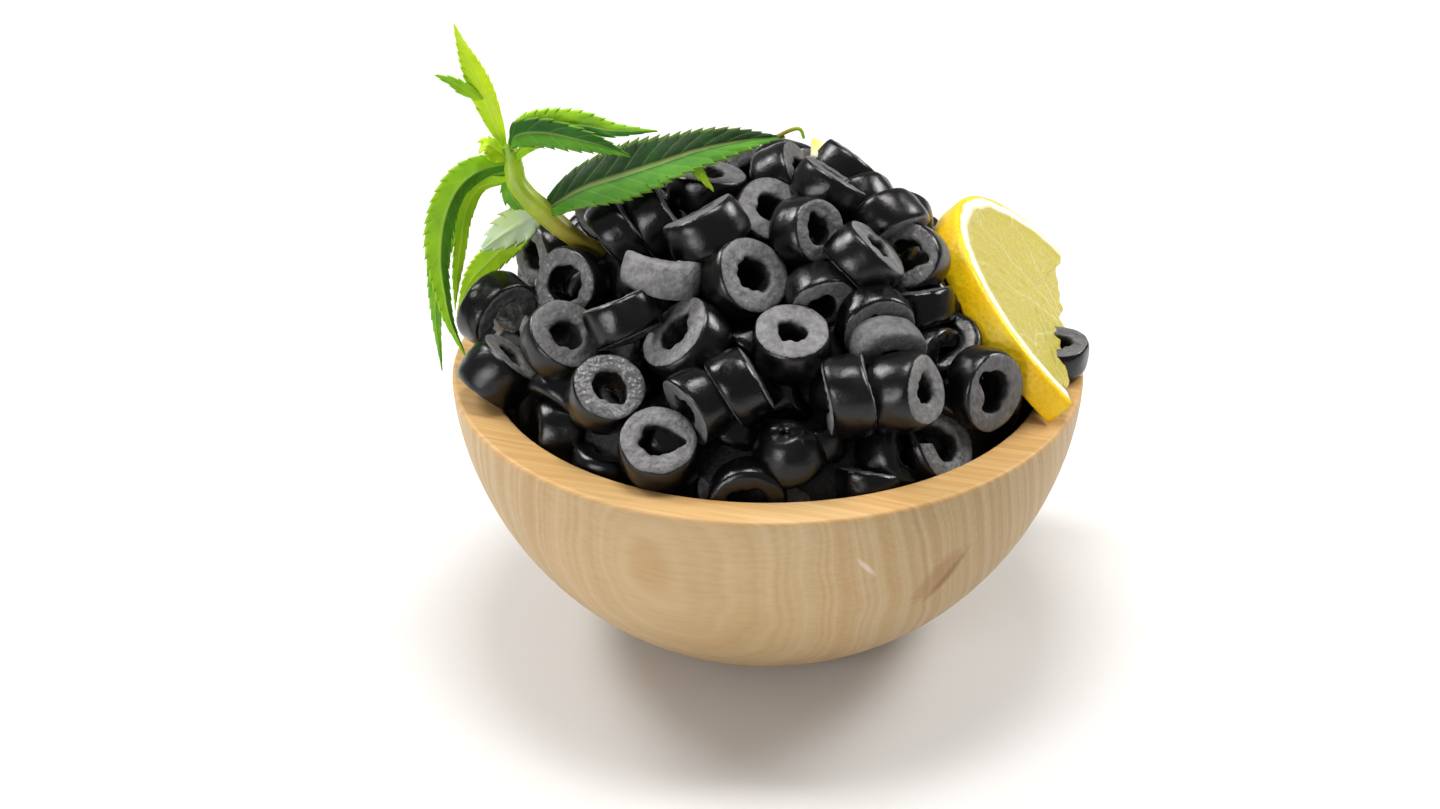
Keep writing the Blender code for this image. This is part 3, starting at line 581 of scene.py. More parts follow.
def clear_of_bowl(balls):
    """How far, and which way, to push balls that touch the bowl's wall or rim."""
    radius = np.hypot(balls[..., 0], balls[..., 1])
    share = (balls[..., 2] - FLOOR_THICKNESS) / (RIM_HEIGHT - FLOOR_THICKNESS)
    rise = np.clip(1 - share, 0, 1) ** INNER_FULLNESS
    wall_radius = BALL_MOUTH * (1 - rise) ** (1 / INNER_FULLNESS)
    below = balls[..., 2] < RIM_HEIGHT
    inward = np.where(below, np.clip(radius + BALL_RADIUS - wall_radius, 0, None), 0)
    lift = np.clip(RIM_HEIGHT + GAP + BALL_RADIUS - balls[..., 2], 0, None)
    upward = np.where(~below & (radius > BALL_MOUTH), lift, 0)
    push = np.zeros_like(balls)
    push[..., :2] = -balls[..., :2] / radius[..., None] * inward[..., None]
    push[..., 2] = upward
    return push


def clear_of_slice(balls, place, under):
    """The push that takes balls out of a half slice: under it, or through the nearer face."""
    middle, across, arc, face = (np.array(vector) for vector in slice_frame(place))
    offset = balls - middle
    depth = offset @ face + LEMON_THICKNESS / 2
    inside = np.hypot(offset @ across, offset @ arc) < LEMON_RADIUS + GAP
    inside &= offset @ arc > 0
    side = -np.ones_like(depth) if under else np.sign(depth)
    room = LEMON_THICKNESS / 2 + GAP + BALL_RADIUS
    amount = np.where(inside, np.clip(room - depth * side, 0, None), 0)
    return (side * amount)[..., None] * face


def ring_balls(centres, axes, sizes):
    """The balls that stand for each ring: a circle near each of its two faces."""
    helper = np.where(np.abs(axes[:, :1]) < 0.8, [[1.0, 0, 0]], [[0, 1.0, 0]])
    first = np.cross(axes, helper)
    first /= np.linalg.norm(first, axis=1, keepdims=True)
    second = np.cross(axes, first)
    turn = np.arange(BALLS_ROUND) * math.tau / BALLS_ROUND
    reach = (sizes[:, 0] - BALL_RADIUS)[:, None, None]
    flat = (first[:, None] * np.cos(turn)[:, None] + second[:, None] * np.sin(turn)[:, None])
    circle = centres[:, None] + flat * reach
    lift = (axes * (sizes[:, 1:] / 2 - BALL_RADIUS))[:, None]
    return np.concatenate([circle + lift, circle - lift], axis=1)


print("each ring stands for", 2 * BALLS_ROUND, "balls of", BALL_RADIUS / MM, "mm radius")

# %% Settling
NEIGHBOUR_REACH = 18 * MM       # rings whose middles are farther apart can't touch


def settle(centres, axes, sizes, yields, fixed, rounds):
    """The rings' centres and axes once they have pushed each other clear.

    The first rings, as many as are fixed, stay where they are.
    """
    laid, laid_axes = centres.copy(), axes.copy()
    first, second = np.triu_indices(len(centres), 1)
    moving = second >= fixed
    first, second = first[moving], second[moving]
    for _ in range(rounds):
        balls = ring_balls(centres, axes, sizes)
        near = np.linalg.norm(centres[first] - centres[second], axis=1) < NEIGHBOUR_REACH
        one, two = first[near], second[near]
        between = balls[one][:, :, None] - balls[two][:, None]
        distance = np.linalg.norm(between, axis=-1, keepdims=True)
        overlap = np.clip(2 * BALL_RADIUS - distance, 0, None)
        pushes = between / np.maximum(distance, TOUCH) * overlap
        part = (yields[one] / (yields[one] + yields[two]))[:, None, None]
        push = clear_of_bowl(balls)
        push += clear_of_slice(balls, LEMON_FRONT, True)
        push += clear_of_slice(balls, LEMON_BACK, False)
        np.add.at(push, one, pushes.sum(axis=2) * part)
        np.add.at(push, two, -pushes.sum(axis=1) * (1 - part))
        touching = np.maximum((np.abs(push).sum(axis=-1) > 0).sum(axis=1), 1)[:, None]
        moment = np.cross(balls - centres[:, None], push).sum(axis=1) / touching
        centres = centres + push.sum(axis=1) / touching
        centres += (laid - centres) * HOLD
        centres[:, 2] = np.minimum(centres[:, 2], laid[:, 2] + RISE_LIMIT)
        axes = axes + np.cross(moment / RING_RADIUS ** 2, axes)
        axes += (laid_axes - axes) * HOLD
        axes /= np.linalg.norm(axes, axis=1, keepdims=True)
        centres[:fixed], axes[:fixed] = laid[:fixed], laid_axes[:fixed]
    return centres, axes


SETTLE_ROUNDS = 90
centres, axes = settle(*laid, 1, SETTLE_ROUNDS)
sizes = laid[2]
moved = np.linalg.norm(centres - laid[0], axis=1) / MM
print(f"{len(centres)} rings settled, {moved.mean():.1f} mm on average")

# %% [markdown]
# ## The shape of one olive ring
#
# A ring is a slice of a pitted olive: a barrel of soft flesh in a thin tough
# skin, with a hole where the stone was. Its section is a rounded oblong, carried
# round the axis. The outside follows the whole olive, an egg shape, so a slice
# from near its end tapers. The knife never cuts quite square, the flesh sags a
# little, and the pitting punch leaves a hole that is off round, often with one
# torn corner. Every ring gets its own small random share of each. All the rings
# are worked out at once, as one array of ring by turn by section by x, y and z.

# %% A ring's section, and its unevenness
SKIN_SQUARENESS = 5.5           # of the section: 2 is an oval, more is squarer
OLIVE_HALF_LENGTH = 12.5 * MM
TEAR_SPREAD = 0.09              # of a torn corner round the hole, in squared radians
MOST_HOLE = 0.72                # the largest share of the outer radius that is hole
FACE_DISH = 0.28                # millimetres that a cut face sinks between skin and hole
TORN_END = 8                    # millimetres past the skin that a broken end counts as


def section_points(steps):
    """The section as a closed loop of (across, along) from -1 to 1, from the skin's middle.

    It is a superellipse, where the size of across and of along, each to a
    power, add up to one. Its points are spaced evenly along its length.
    """
    angle = np.linspace(0, math.tau, 1441)
    power = 2 / SKIN_SQUARENESS
    across = np.sign(np.cos(angle)) * np.abs(np.cos(angle)) ** power
    along = np.sign(np.sin(angle)) * np.abs(np.sin(angle)) ** power
    length = np.append(0, np.cumsum(np.hypot(np.diff(across), 2 * np.diff(along))))
    even = np.linspace(0, length[-1], steps, endpoint=False)
    return np.interp(even, length, across), np.interp(even, length, along)


def ring_frames(axes, leads):
    """For each ring, the direction in its plane nearest to its lead, and the one square to that."""
    first = leads - (leads * axes).sum(axis=1, keepdims=True) * axes
    first /= np.linalg.norm(first, axis=1, keepdims=True)
    return first, np.cross(axes, first)


def ring_surfaces(centres, axes, leads, sizes, shape, turns, fullness, steps, seed):
    """Points of olive rings, and how far each is from the skin's edge and down the hole.

    Round the axis, at angle a, the section is stretched between the hole's
    radius and the skin's. The skin's radius is the olive's, the root of one
    less the squared share of its half length. The ends' fullness shrinks the
    section to its middle where a ring is broken. All angles are measured from
    the lead, which a torn corner of the hole points to, and where a saddle
    bend lifts the ring. Shape holds, for each ring, its place along the olive,
    its hole's share of the radius, and its corner's and its saddle's strength.
    """
    end_share, hole, corner, saddle = (shape[:, k][:, None, None] for k in range(4))
    draw = np.random.default_rng(seed)
    count = len(centres)
    across, along = (value[None, None, :] for value in section_points(steps))
    angle, fullness = turns[None, :, None], fullness[None, :, None]

    def wobble(order, strength):
        """A wave round each ring, with its own strength and phase."""
        size = draw.uniform(0.4, 1, (count, 1, 1)) * strength
        return size * np.cos(order * angle + draw.uniform(0, math.tau, (count, 1, 1)))

    radius, thick = sizes[:, 0][:, None, None], sizes[:, 1][:, None, None]
    away = along * thick / 2 + end_share * OLIVE_HALF_LENGTH
    taper = np.sqrt(np.clip(1 - (away / OLIVE_HALF_LENGTH) ** 2, 0.08, 1))
    widest = np.sqrt(1 - np.clip(np.abs(end_share) - thick / 2 / OLIVE_HALF_LENGTH, 0, 1) ** 2)
    outer = radius * taper / widest * (1 + wobble(2, 0.035) + wobble(3, 0.02))
    tear = np.exp(-((angle + math.pi) % math.tau - math.pi) ** 2 / TEAR_SPREAD)
    inner = radius * hole * (1 + wobble(2, 0.12) + wobble(3, 0.06) + wobble(5, 0.035)
                             + corner * tear)
    inner = np.minimum(inner * (0.55 + 0.45 * taper / widest), MOST_HOLE * outer)
    middle, half = (outer + inner) / 2, (outer - inner) / 2
    out = middle + across * half * fullness
    up = along * thick / 2 * fullness
    outness = out / radius
    up = up * (1 + wobble(1, 0.10)) + (wobble(2, 0.45) + wobble(1, 0.35)) * MM * outness
    up = up + saddle * MM * np.cos(2 * angle) * outness ** 2
    # The cut faces dish a little between the skin and the hole
    up -= np.sign(along) * np.abs(along) ** 4 * FACE_DISH * MM * (1 - across ** 2) * fullness
    local = np.stack([out * np.cos(angle), out * np.sin(angle), up + 0 * out], axis=-1)
    local = local + draw.uniform(-9, 9, (count, 1, 1, 3))
    from_skin = (np.abs(along) - across) * np.where(np.abs(along) < across, thick / 2, half)
    in_hole = (-across - np.abs(along)) * np.where(-across > np.abs(along), thick / 2, half)
    from_skin = from_skin + (1 - fullness) * TORN_END * MM
    cut = np.clip(from_skin / (0.6 * MM), 0, 1) * np.minimum(4 * fullness, 1)
    torn = np.clip(1 + in_hole / (0.8 * MM), 0, 1)
    out = out + (0.10 + 0.10 * torn) * MM * ripples(local, 2.6 * MM, seed + 1) * cut
    out = out + 0.07 * MM * ripples(local, 4.5 * MM, seed + 2)
    up = up + (0.10 + 0.14 * torn) * MM * ripples(local, 2.2 * MM, seed + 3) * cut
    first, second = ring_frames(axes, leads)
    points = (centres[:, None, None]
              + (out * np.cos(angle))[..., None] * first[:, None, None]
              + (out * np.sin(angle))[..., None] * second[:, None, None]
              + up[..., None] * axes[:, None, None])
    return points, from_skin + 0 * out, in_hole + 0 * out


def joined_rings(name, surfaces, closed, finish, tones, wets, peel_and_shade=0):
    """One object of many rings, with the attributes that their finish reads.

    This shift is added to how far each point is past its skin. Well above nought
    it makes a ring flesh all over, as where a side was sliced off, and well below
    it makes the ring all skin: an olive's end is so, and rings in shade are made so
    as painted shade.
    """
    points, from_skin, in_hole = surfaces
    from_skin = from_skin + peel_and_shade
    count, turns, steps = points.shape[:3]
    one = grid_faces(turns, steps, close_rows=closed)
    faces = (one[None] + (np.arange(count) * turns * steps)[:, None, None]).reshape(-1, 4)
    spread = np.ones((1, turns, steps))
    return new_piece(name, points, faces, finish,
                     from_skin=from_skin / MM, in_hole=in_hole / MM,
                     ring_tone=tones[:, None, None] * spread, wetness=wets[:, None, None] * spread)


# %% [markdown]
# ## Black olive, skin and cut flesh
#
# A ripe olive from the jar is black right through, but its two surfaces look
# nothing alike. The skin is waxy and wet: very dark, with small hard lights and
# the faintest wrinkles. The sliced flesh is a charcoal grey, matt where it has
# drained and glossy where brine still stands on it, and mottled and pitted by the
# knife. Down the hole, where it is torn, it is painted near black: painted shade
# in that recess. One material holds all of it. The number "from_skin", which the
# mesh carries, says how far a point is past the skin's edge, so the change is as
# sharp as the cut. Each ring has its own tone and wetness; for a few rings in
# shade the dark tone is painted shade.

# %% Black olive, brined and sliced
olive, tree, shader = new_finish("black_olive_brined_and_sliced")
place = node(tree, "TexCoord", {}, out=3)
from_skin, in_hole, tone, wetness = (
    node(tree, "Attribute", {}, out=2, attribute_name=label)
    for label in ("from_skin", "in_hole", "ring_tone", "wetness"))
mottle = node(tree, "TexNoise", {"Vector": place, "Scale": 520.0, "Detail": 5.0,
                                 "Roughness": 0.75})
grain = node(tree, "TexNoise", {"Vector": place, "Scale": 1500.0, "Detail": 3.0})
pits = node(tree, "TexVoronoi", {"Vector": place, "Scale": 1100.0}, feature="F1")
patches = node(tree, "TexNoise", {"Vector": place, "Scale": 170.0, "Detail": 2.0})

ragged = node(tree, "Math", {0: grain, 1: 0.5, 2: -0.25}, operation="MULTIPLY_ADD")
edge = node(tree, "Math", {0: from_skin, 1: ragged}, operation="ADD")
cut = node(tree, "MapRange", {"Value": edge, "From Min": 0.02, "From Max": 0.28})
painted_hole_shade = node(tree, "MapRange", {"Value": in_hole, "From Min": -0.35, "From Max": 0.9})

skin = node(tree, "ValToRGB", {0: patches}, stops=[
    (0.35, "#080708"), (0.60, "#0e0d0d"), (0.78, "#171414")])
flesh = node(tree, "ValToRGB", {0: mottle}, stops=[
    (0.30, "#4e4d4d"), (0.46, "#646363"), (0.60, "#777676")])
shade = node(tree, "MapRange", {"Value": tone, "To Min": 0.62, "To Max": 1.25})
flesh = node(tree, "VectorMath", {0: flesh, "Scale": shade}, operation="SCALE")
# Down the hole the flesh turns near black: painted shade in that recess, where it is also torn
torn = node(tree, "ValToRGB", {0: mottle}, stops=[(0.35, "#0c0b0b"), (0.65, "#201e1e")])
flesh = node(tree, "Mix", {0: painted_hole_shade, 6: flesh, 7: torn}, out=2, data_type="RGBA")
colour = node(tree, "Mix", {0: cut, 6: skin, 7: flesh}, out=2, data_type="RGBA")

skin_rough = node(tree, "MapRange", {"Value": patches, "From Min": 0.3, "From Max": 0.7,
                                     "To Min": 0.08, "To Max": 0.22})
soaked = node(tree, "Math", {0: wetness, 1: mottle}, operation="MULTIPLY")
flesh_rough = node(tree, "MapRange", {"Value": soaked, "From Min": 0.10, "From Max": 0.45,
                                      "To Min": 0.58, "To Max": 0.14})
skin_rough = node(tree, "Math", {0: tone, 1: 0.07, 2: skin_rough}, operation="MULTIPLY_ADD")
rough = node(tree, "Mix", {0: cut, 2: skin_rough, 3: flesh_rough})
wrinkles = node(tree, "Bump", {"Height": mottle, "Strength": 0.45, "Distance": 0.25 * MM})
pitted = node(tree, "Mix", {0: 0.5, 2: grain, 3: pits})
depth = node(tree, "MapRange", {"Value": wetness, "To Min": 0.5, "To Max": 1.0})
flesh_relief = node(tree, "Bump", {"Height": pitted, "Strength": depth, "Distance": 0.45 * MM})
normal = node(tree, "Mix", {0: cut, 4: wrinkles, 5: flesh_relief}, out=1, data_type="VECTOR")
connect(tree, shader, {"Base Color": colour, "Roughness": rough, "Normal": normal,
                       "Specular IOR Level": 0.42})
print(olive.name, "has", len(tree.nodes), "nodes")

# %% [markdown]
# ## The rings of the heap
#
# The listed rings that show most get what makes each one itself: a torn
# corner in the hole, a saddle bend, an olive's end with only a pinhole, a wet
# face. Five rings are broken open, and end in two torn faces. The rest take
# their shares from seeded random numbers.

# %% What makes each listed ring itself
WHOLE_TURNS = np.linspace(0, math.tau, 52, endpoint=False)
SECTION_STEPS = 30
NAMED_COUNT = len(NAMED_RINGS) + 1
count = len(centres)
draw = np.random.default_rng(11)
leads = draw.normal(size=(count, 3))
shape = np.stack([draw.uniform(-0.22, 0.22, count), draw.uniform(0.34, 0.46, count),
                  draw.uniform(0, 0.25, count), draw.uniform(-0.25, 0.25, count)], axis=1)
tones = draw.uniform(0.15, 0.85, count)
wets = draw.uniform(0, 0.45, count) ** 1.5
# Number in the list: lead; then place along the olive, hole, corner and saddle; tone, wetness
SPECIAL = {
    2: ((0, -1, 0), (0.05, 0.50, 0.10, 0.0), 0.35, 0.90),
    3: ((1, -1, -1), (0.0, 0.44, 0.10, 0.2), 0.45, 0.95),
    4: ((1, -0.1, -0.1), (0.0, 0.42, 0.55, 0.1), 0.85, 0.30),
    8: ((1, 0, 0), (-0.1, 0.44, 0.10, 0.0), 0.40, 0.15),
    9: ((1, 0, 0), (0.0, 0.42, 0.10, 1.2), 1.00, 0.10),
    10: ((1, 0.6, 0), (0.05, 0.40, 0.15, 0.2), 0.85, 0.35),
    17: ((0.4, 0.2, 1), (0.0, 0.43, 0.0, 0.1), 0.80, 0.10),
    18: ((0, 0, 1), (0.1, 0.40, 0.3, 0.0), 0.25, 0.20),
    23: ((0, 0, 1), (0.0, 0.42, 0.1, 0.0), 0.70, 0.10),
    27: ((-0.6, -1, 0), (0.0, 0.34, 0.2, 0.1), 0.95, 0.20),
    22: ((1, -0.5, 0), (0.0, 0.46, 0.5, 0.3), 0.55, 1.00),
    30: ((0, 0, 1), (0.1, 0.40, 0.1, 0.2), 1.00, 0.20),
    31: ((0.5, 0, 1), (0.15, 0.36, 0.1, 0.0), 0.90, 0.20),
    32: ((-1, 0, 1), (0.0, 0.46, 0.9, 0.2), 0.45, 0.15),
    34: ((1, 0, 0), (0.58, 0.12, 0.2, 0.0), 0.30, 0.10),
    36: ((0, 0, 1), (0.0, 0.40, 0.1, 0.1), 1.00, 0.10),
    # Rings 38 and 39 sit in the dark gap beside the lemon: their tone of nought is painted shade
    38: ((0, 0, 1), (0.1, 0.40, 0.2, 0.2), 0.00, 0.80),
    39: ((1, 0, 0), (0.0, 0.40, 0.2, 0.2), 0.00, 0.80),
}
for number, (lead, values, tone_value, wet_value) in SPECIAL.items():
    leads[number], shape[number] = lead, values
    tones[number], wets[number] = tone_value, wet_value
# Two rings whose side was sliced off with the skin, so that it is as grey as the
# faces, and an olive's end, which is skin all over. Three rings that lie in shade
# are made skin all over too, so that their faces read dark: painted shade
PEEL = 6 * MM                   # more than a ring's points are from their skin's edge
peel_and_shade = np.zeros(count)
peel_and_shade[[9, 26]] = PEEL
peel_and_shade[[11, 12, 34, 38]] = -PEEL
# Broken rings: the way the break faces, and the angle that is missing
BROKEN = {0: ((-1, 0.15, 0), 120), 33: ((-0.5, -0.3, 0.9), 60), 36: ((1, 0.5, 1), 160),
          5: ((0.2, -0.5, -1), 70), 41: ((-0.3, 0.95, -0.1), 170)}
LEFT_OUT = [46]                 # a ring of the fill that stood too high at the back right
whole = np.array([number not in BROKEN and number not in LEFT_OUT for number in range(count)])
print(f"{len(SPECIAL)} rings have a shape of their own, {len(BROKEN)} are broken, "
      f"{len(LEFT_OUT)} is left out")

# %% The rings' meshes
def pick(chosen):
    """The places and shapes of some of the rings."""
    return centres[chosen], axes[chosen], leads[chosen], sizes[chosen], shape[chosen]


named = np.arange(count) < NAMED_COUNT
olives = []
for name, chosen, seed in (("olive_rings_placed", whole & named, 20),
                           ("olive_rings_filled", whole & ~named, 30)):
    surfaces = ring_surfaces(*pick(chosen), WHOLE_TURNS, np.ones(len(WHOLE_TURNS)),
                             SECTION_STEPS, seed)
    olives.append(joined_rings(name, surfaces, True, olive, tones[chosen], wets[chosen],
                               peel_and_shade[chosen][:, None, None]))

BROKEN_STEPS = 44
END_FULLNESS = np.array([0, 0.45, 0.78, 0.93, 0.985])
TORN_DEPTH = 0.09               # radians over which a torn end rounds off
for number, (lead, gap) in BROKEN.items():
    leads[number] = lead
    one = np.array([number])
    start = math.radians(gap) / 2
    middle_turns = np.linspace(start + TORN_DEPTH, math.tau - start - TORN_DEPTH, BROKEN_STEPS)
    first_end = start + TORN_DEPTH * (1 - np.sqrt(1 - END_FULLNESS ** 2))
    turns = np.concatenate([first_end, middle_turns, math.tau - first_end[::-1]])
    fullness = np.concatenate([END_FULLNESS, np.ones(BROKEN_STEPS), END_FULLNESS[::-1]])
    surfaces = ring_surfaces(*pick(one), turns, fullness, SECTION_STEPS, 40 + number)
    name = "olive_on_the_rim" if number == 0 else f"olive_broken_{number}"
    olives.append(joined_rings(name, surfaces, False, olive, tones[one], wets[one]))
for item in olives:
    tell(item)

# %% [markdown]
# ## What shows between the rings
#
# Through the gaps a heap shows more of itself, so under the first layer lies a
# second one, and a few more rings fill the places left bare on the dome, all but
# those far to the right, where the heap stays low. They are laid by the same
# spiral, deeper, and settled against the first layer, which stays still. A ring
# that would end up in a slice of lemon is dropped. The layer beneath is made skin
# all over, because little light reaches it: painted shade. All these rings take
# lower tones than the first layer, which is painted shade too. Below them all, a
# dark lumpy core stands for the olives that nobody can see: it costs few faces,
# and lets no light through.

# %% The second layer
BARE_DEPTH, UNDER_DEPTH = 4 * MM, 8.5 * MM     # under the dome of the first layer
BARE_SPACING = 11.5 * MM        # a place this far from every ring is bare
BARE_RIGHT = 22 * MM            # and bare places are filled as far right as this
BARE_TRIES, UNDER_COUNT, UNDER_ROUNDS = 700, 84, 60
UNDER_REACH = 47 * MM           # from the bowl's axis, for the layer beneath


def spare_places():
    """Places of more rings, bare ones on the dome and then a layer under it.

    How many of them were bare is given with them.
    """
    found = [tuple(centre) for centre in centres]
    for x, y in spiral(BARE_TRIES):
        place = (x, y, RIM_HEIGHT + heap_height(x, y) - BARE_DEPTH)
        apart = min(math.dist(place, other) for other in found)
        if apart > BARE_SPACING and x < BARE_RIGHT and not over_slice(place):
            found.append(place)
    bare = len(found) - count
    for x, y in spiral(UNDER_COUNT):
        if math.hypot(x, y) < UNDER_REACH:
            found.append((x, y, RIM_HEIGHT + heap_height(x, y) - UNDER_DEPTH))
    return np.array(found[count:]), bare


def clear_of_lemon(place):
    """Whether a place is outside both half slices, by half a slice's thickness at its faces."""
    for half_slice in (LEMON_FRONT, LEMON_BACK):
        middle, across, arc, face = slice_frame(half_slice)
        offset = Vector(place) - middle
        depth = abs(offset @ face + LEMON_THICKNESS / 2)
        over = math.hypot(offset @ across, offset @ arc) < LEMON_RADIUS and offset @ arc > 0
        if over and depth < LEMON_THICKNESS:
            return False
    return True


spare, bare = spare_places()
draw = np.random.default_rng(5)
spare_axes = draw.normal(size=(len(spare), 3))
spare_axes /= np.linalg.norm(spare_axes, axis=1, keepdims=True)
spare_sizes = np.stack([RING_RADIUS * draw.uniform(0.92, 1.04, len(spare)),
                        RING_THICKNESS * draw.uniform(0.85, 1.05, len(spare))], axis=1)
all_centres, all_axes = settle(
    np.concatenate([centres, spare]), np.concatenate([axes, spare_axes]),
    np.concatenate([sizes, spare_sizes]), np.ones(count + len(spare)), count, UNDER_ROUNDS)
kept = np.array([clear_of_lemon(place) for place in all_centres[count:]])
spare, spare_axes = all_centres[count:][kept], all_axes[count:][kept]
spare_sizes, bare = spare_sizes[kept], kept[:bare].sum()
spare_leads = draw.normal(size=(len(spare), 3))
spare_shape = np.stack([draw.uniform(-0.2, 0.2, len(spare)), draw.uniform(0.36, 0.5, len(spare)),
                        draw.uniform(0, 0.3, len(spare)), draw.uniform(-0.2, 0.2, len(spare))],
                       axis=1)
UNDER_TURNS, UNDER_STEPS = np.linspace(0, math.tau, 36, endpoint=False), 22
surfaces = ring_surfaces(spare, spare_axes, spare_leads, spare_sizes, spare_shape,
                         UNDER_TURNS, np.ones(len(UNDER_TURNS)), UNDER_STEPS, 60)
# Painted shade: the layer beneath is made all skin, and every spare ring takes a low tone
all_skin = np.where(np.arange(len(spare)) < bare, 0, -PEEL)[:, None, None]
olives.append(joined_rings("olive_rings_beneath", surfaces, True, olive,
                           draw.uniform(0.1, 0.5, len(spare)), draw.uniform(0, 0.3, len(spare)),
                           all_skin))
print(len(spare), "rings beneath")

# %% The core
CORE_DROP, CORE_SHRINK = 9 * MM, 4.5 * MM
CORE_TURNS, CORE_ROWS = 60, 16
LUMP_SIZE, LUMP_DEPTH = 11 * MM, 1.4


def core_points(turns, rows):
    """The core's surface: the bowl's hollow drawn in, then a dome under the rings.

    Below the rim it follows the hollow's superellipse, a little smaller. Above
    it each point lies part of the way from the widest circle to the apex, at
    the dome's height less a drop. Ripples press it in by up to a millimetre or
    so.
    """
    turn = np.linspace(0, math.tau, turns, endpoint=False)
    radius, height = wall(rows, INNER_FULLNESS)
    radius, height = radius[:, None], height[:, None]
    widest = mouth - CORE_SHRINK
    level = FLOOR_THICKNESS + 1 * MM + (RIM_HEIGHT - CORE_DROP - FLOOR_THICKNESS) * height
    low = np.stack([widest * radius * np.cos(turn), widest * radius * np.sin(turn),
                    level + 0 * turn], axis=-1)
    share = np.linspace(1, 0, rows + 1)[1:, None]
    x = APEX[0] + (widest * np.cos(turn) - APEX[0]) * share
    y = APEX[1] + (widest * np.sin(turn) - APEX[1]) * share
    tall = np.vectorize(heap_height)(x, y)
    high = np.stack([x, y, RIM_HEIGHT + tall - CORE_DROP], axis=-1)
    points = np.concatenate([low, high])
    lumps = ripples(points[1:-1], LUMP_SIZE, 8) * LUMP_DEPTH * MM
    points[1:-1, :, 2] -= np.abs(lumps)
    return points


points = core_points(CORE_TURNS, CORE_ROWS)
flat = np.ones(points.shape[:2])
core = new_piece("olive_core", points, grid_faces(*points.shape[:2]), olive,
                 from_skin=flat * 2, in_hole=flat * 2, ring_tone=flat * 0.2, wetness=flat * 0.2)
olives.append(core)
for item in olives:
    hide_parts("olive_on_rim" if item.name == "olive_on_the_rim" else "olive_heap")
    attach(item, "root")
    tell(item)

# %% [markdown]
# ## The lemon
#
# Each slice is half a disc, 6 mm thick: a waxy rind with pores, a band of white
# pith, and wet flesh in segments. It is one closed surface. Its outline, the
# rind's arc and then the cut, is walked round by one parameter, and the other
# runs from the middle of the upper face, out to the edge, down the side and back
# to the middle below. The cut is ragged, because the flesh tore there, and the
# flesh is a little sunk and lumpy with juice sacs. The back slice is trimmed
# closer, so its edge is paler, between rind and pith.

# %% A half slice as one closed surface
FLESH_START = 3.4 * MM          # from the rind's outside, where the flesh begins to sink
SLICE_ROUNDING = 0.9 * MM
BACK_SMALLER = 1.2 * MM         # the back slice's radius is this much smaller
ARC_STEPS, CUT_STEPS = 120, 84


def half_moon(radius, steps_arc, steps_cut, seed):
    """The outline of a half disc with a torn cut, and how torn each point is.

    The arc at angle a is (radius cos a, radius sin a). The cut is the straight
    line that closes it, moved in by ripples that fade out at its two ends.
    """
    start = math.asin(LEMON_CUT / radius)
    angle = np.linspace(start, math.pi - start, steps_arc, endpoint=False)
    arc = np.stack([radius * np.cos(angle), radius * np.sin(angle)], axis=1)
    share = np.linspace(0, 1, steps_cut, endpoint=False)
    end = radius * math.cos(start)
    cut = np.stack([end * (2 * share - 1), LEMON_CUT + 0 * share], axis=1)
    torn = np.clip(np.minimum(share, 1 - share) * 14, 0, 1)
    line = np.stack([cut[:, 0], 0 * share, 0 * share], axis=1)
    ragged = 0.8 * ripples(line, 15 * MM, seed) + 0.35 * ripples(line, 4 * MM, seed + 1)
    cut[:, 1] += torn * (0.9 + ragged) * MM
    return np.concatenate([arc, cut]), np.concatenate([0 * angle, torn])


def slice_surface(place, radius, seed, rows_face=26, rows_side=9):
    """Points of a half slice in place, and the same points laid flat, for its finish.

    A point of a face lies on the line from the face's middle to the outline.
    Down the side the outline is reached as a power of the sine of an angle from
    nought to half a turn, and the level as a power of its cosine, which rounds
    the two edges.
    """
    outline, torn = half_moon(radius, ARC_STEPS, CUT_STEPS, seed)
    hub = np.array([0, 11 * MM])
    share = 1 - np.linspace(1, 0, rows_face) ** 1.6
    half = LEMON_THICKNESS / 2
    side = np.linspace(0, math.pi, rows_side + 2)[1:-1]
    inset = 1 - SLICE_ROUNDING / LEMON_RADIUS
    reach = np.concatenate([share * inset, inset + (1 - inset) * np.sin(side) ** 0.5,
                            share[::-1] * inset])[:, None, None]
    level = np.concatenate([0 * share + 1, np.sign(np.cos(side)) * np.abs(np.cos(side)) ** 0.45,
                            0 * share - 1])[:, None]
    flat = hub + (outline - hub) * reach
    x, y = flat[..., 0], flat[..., 1]
    depth = LEMON_RADIUS - np.hypot(x, y)
    in_flesh = np.clip((depth - FLESH_START) / (1.2 * MM), 0, 1)
    place_flat = np.stack([x, y, level * half + 0 * x], axis=-1)
    sacs = ripples(place_flat * (1, 1, 0.4), 3.2 * MM, seed + 2)
    fine = ripples(place_flat, 1.5 * MM, seed + 3)
    z = level * (half - in_flesh * (0.35 + 0.10 * sacs + 0.04 * fine) * MM)
    z = z - level * 0.12 * MM * np.clip(1 - depth / (1.0 * MM), 0, 1)
    y = y - (1 - np.abs(level)) * torn * (0.35 * sacs + 0.25 * fine) * MM
    place_flat = np.stack([x, y, z], axis=-1)
    middle, across, arc, out = (np.array(vector) for vector in slice_frame(place))
    points = (middle + x[..., None] * across + y[..., None] * arc
              + (z - half)[..., None] * out)
    return points, place_flat


print("flesh radius", (LEMON_RADIUS - FLESH_START) / MM, "mm")
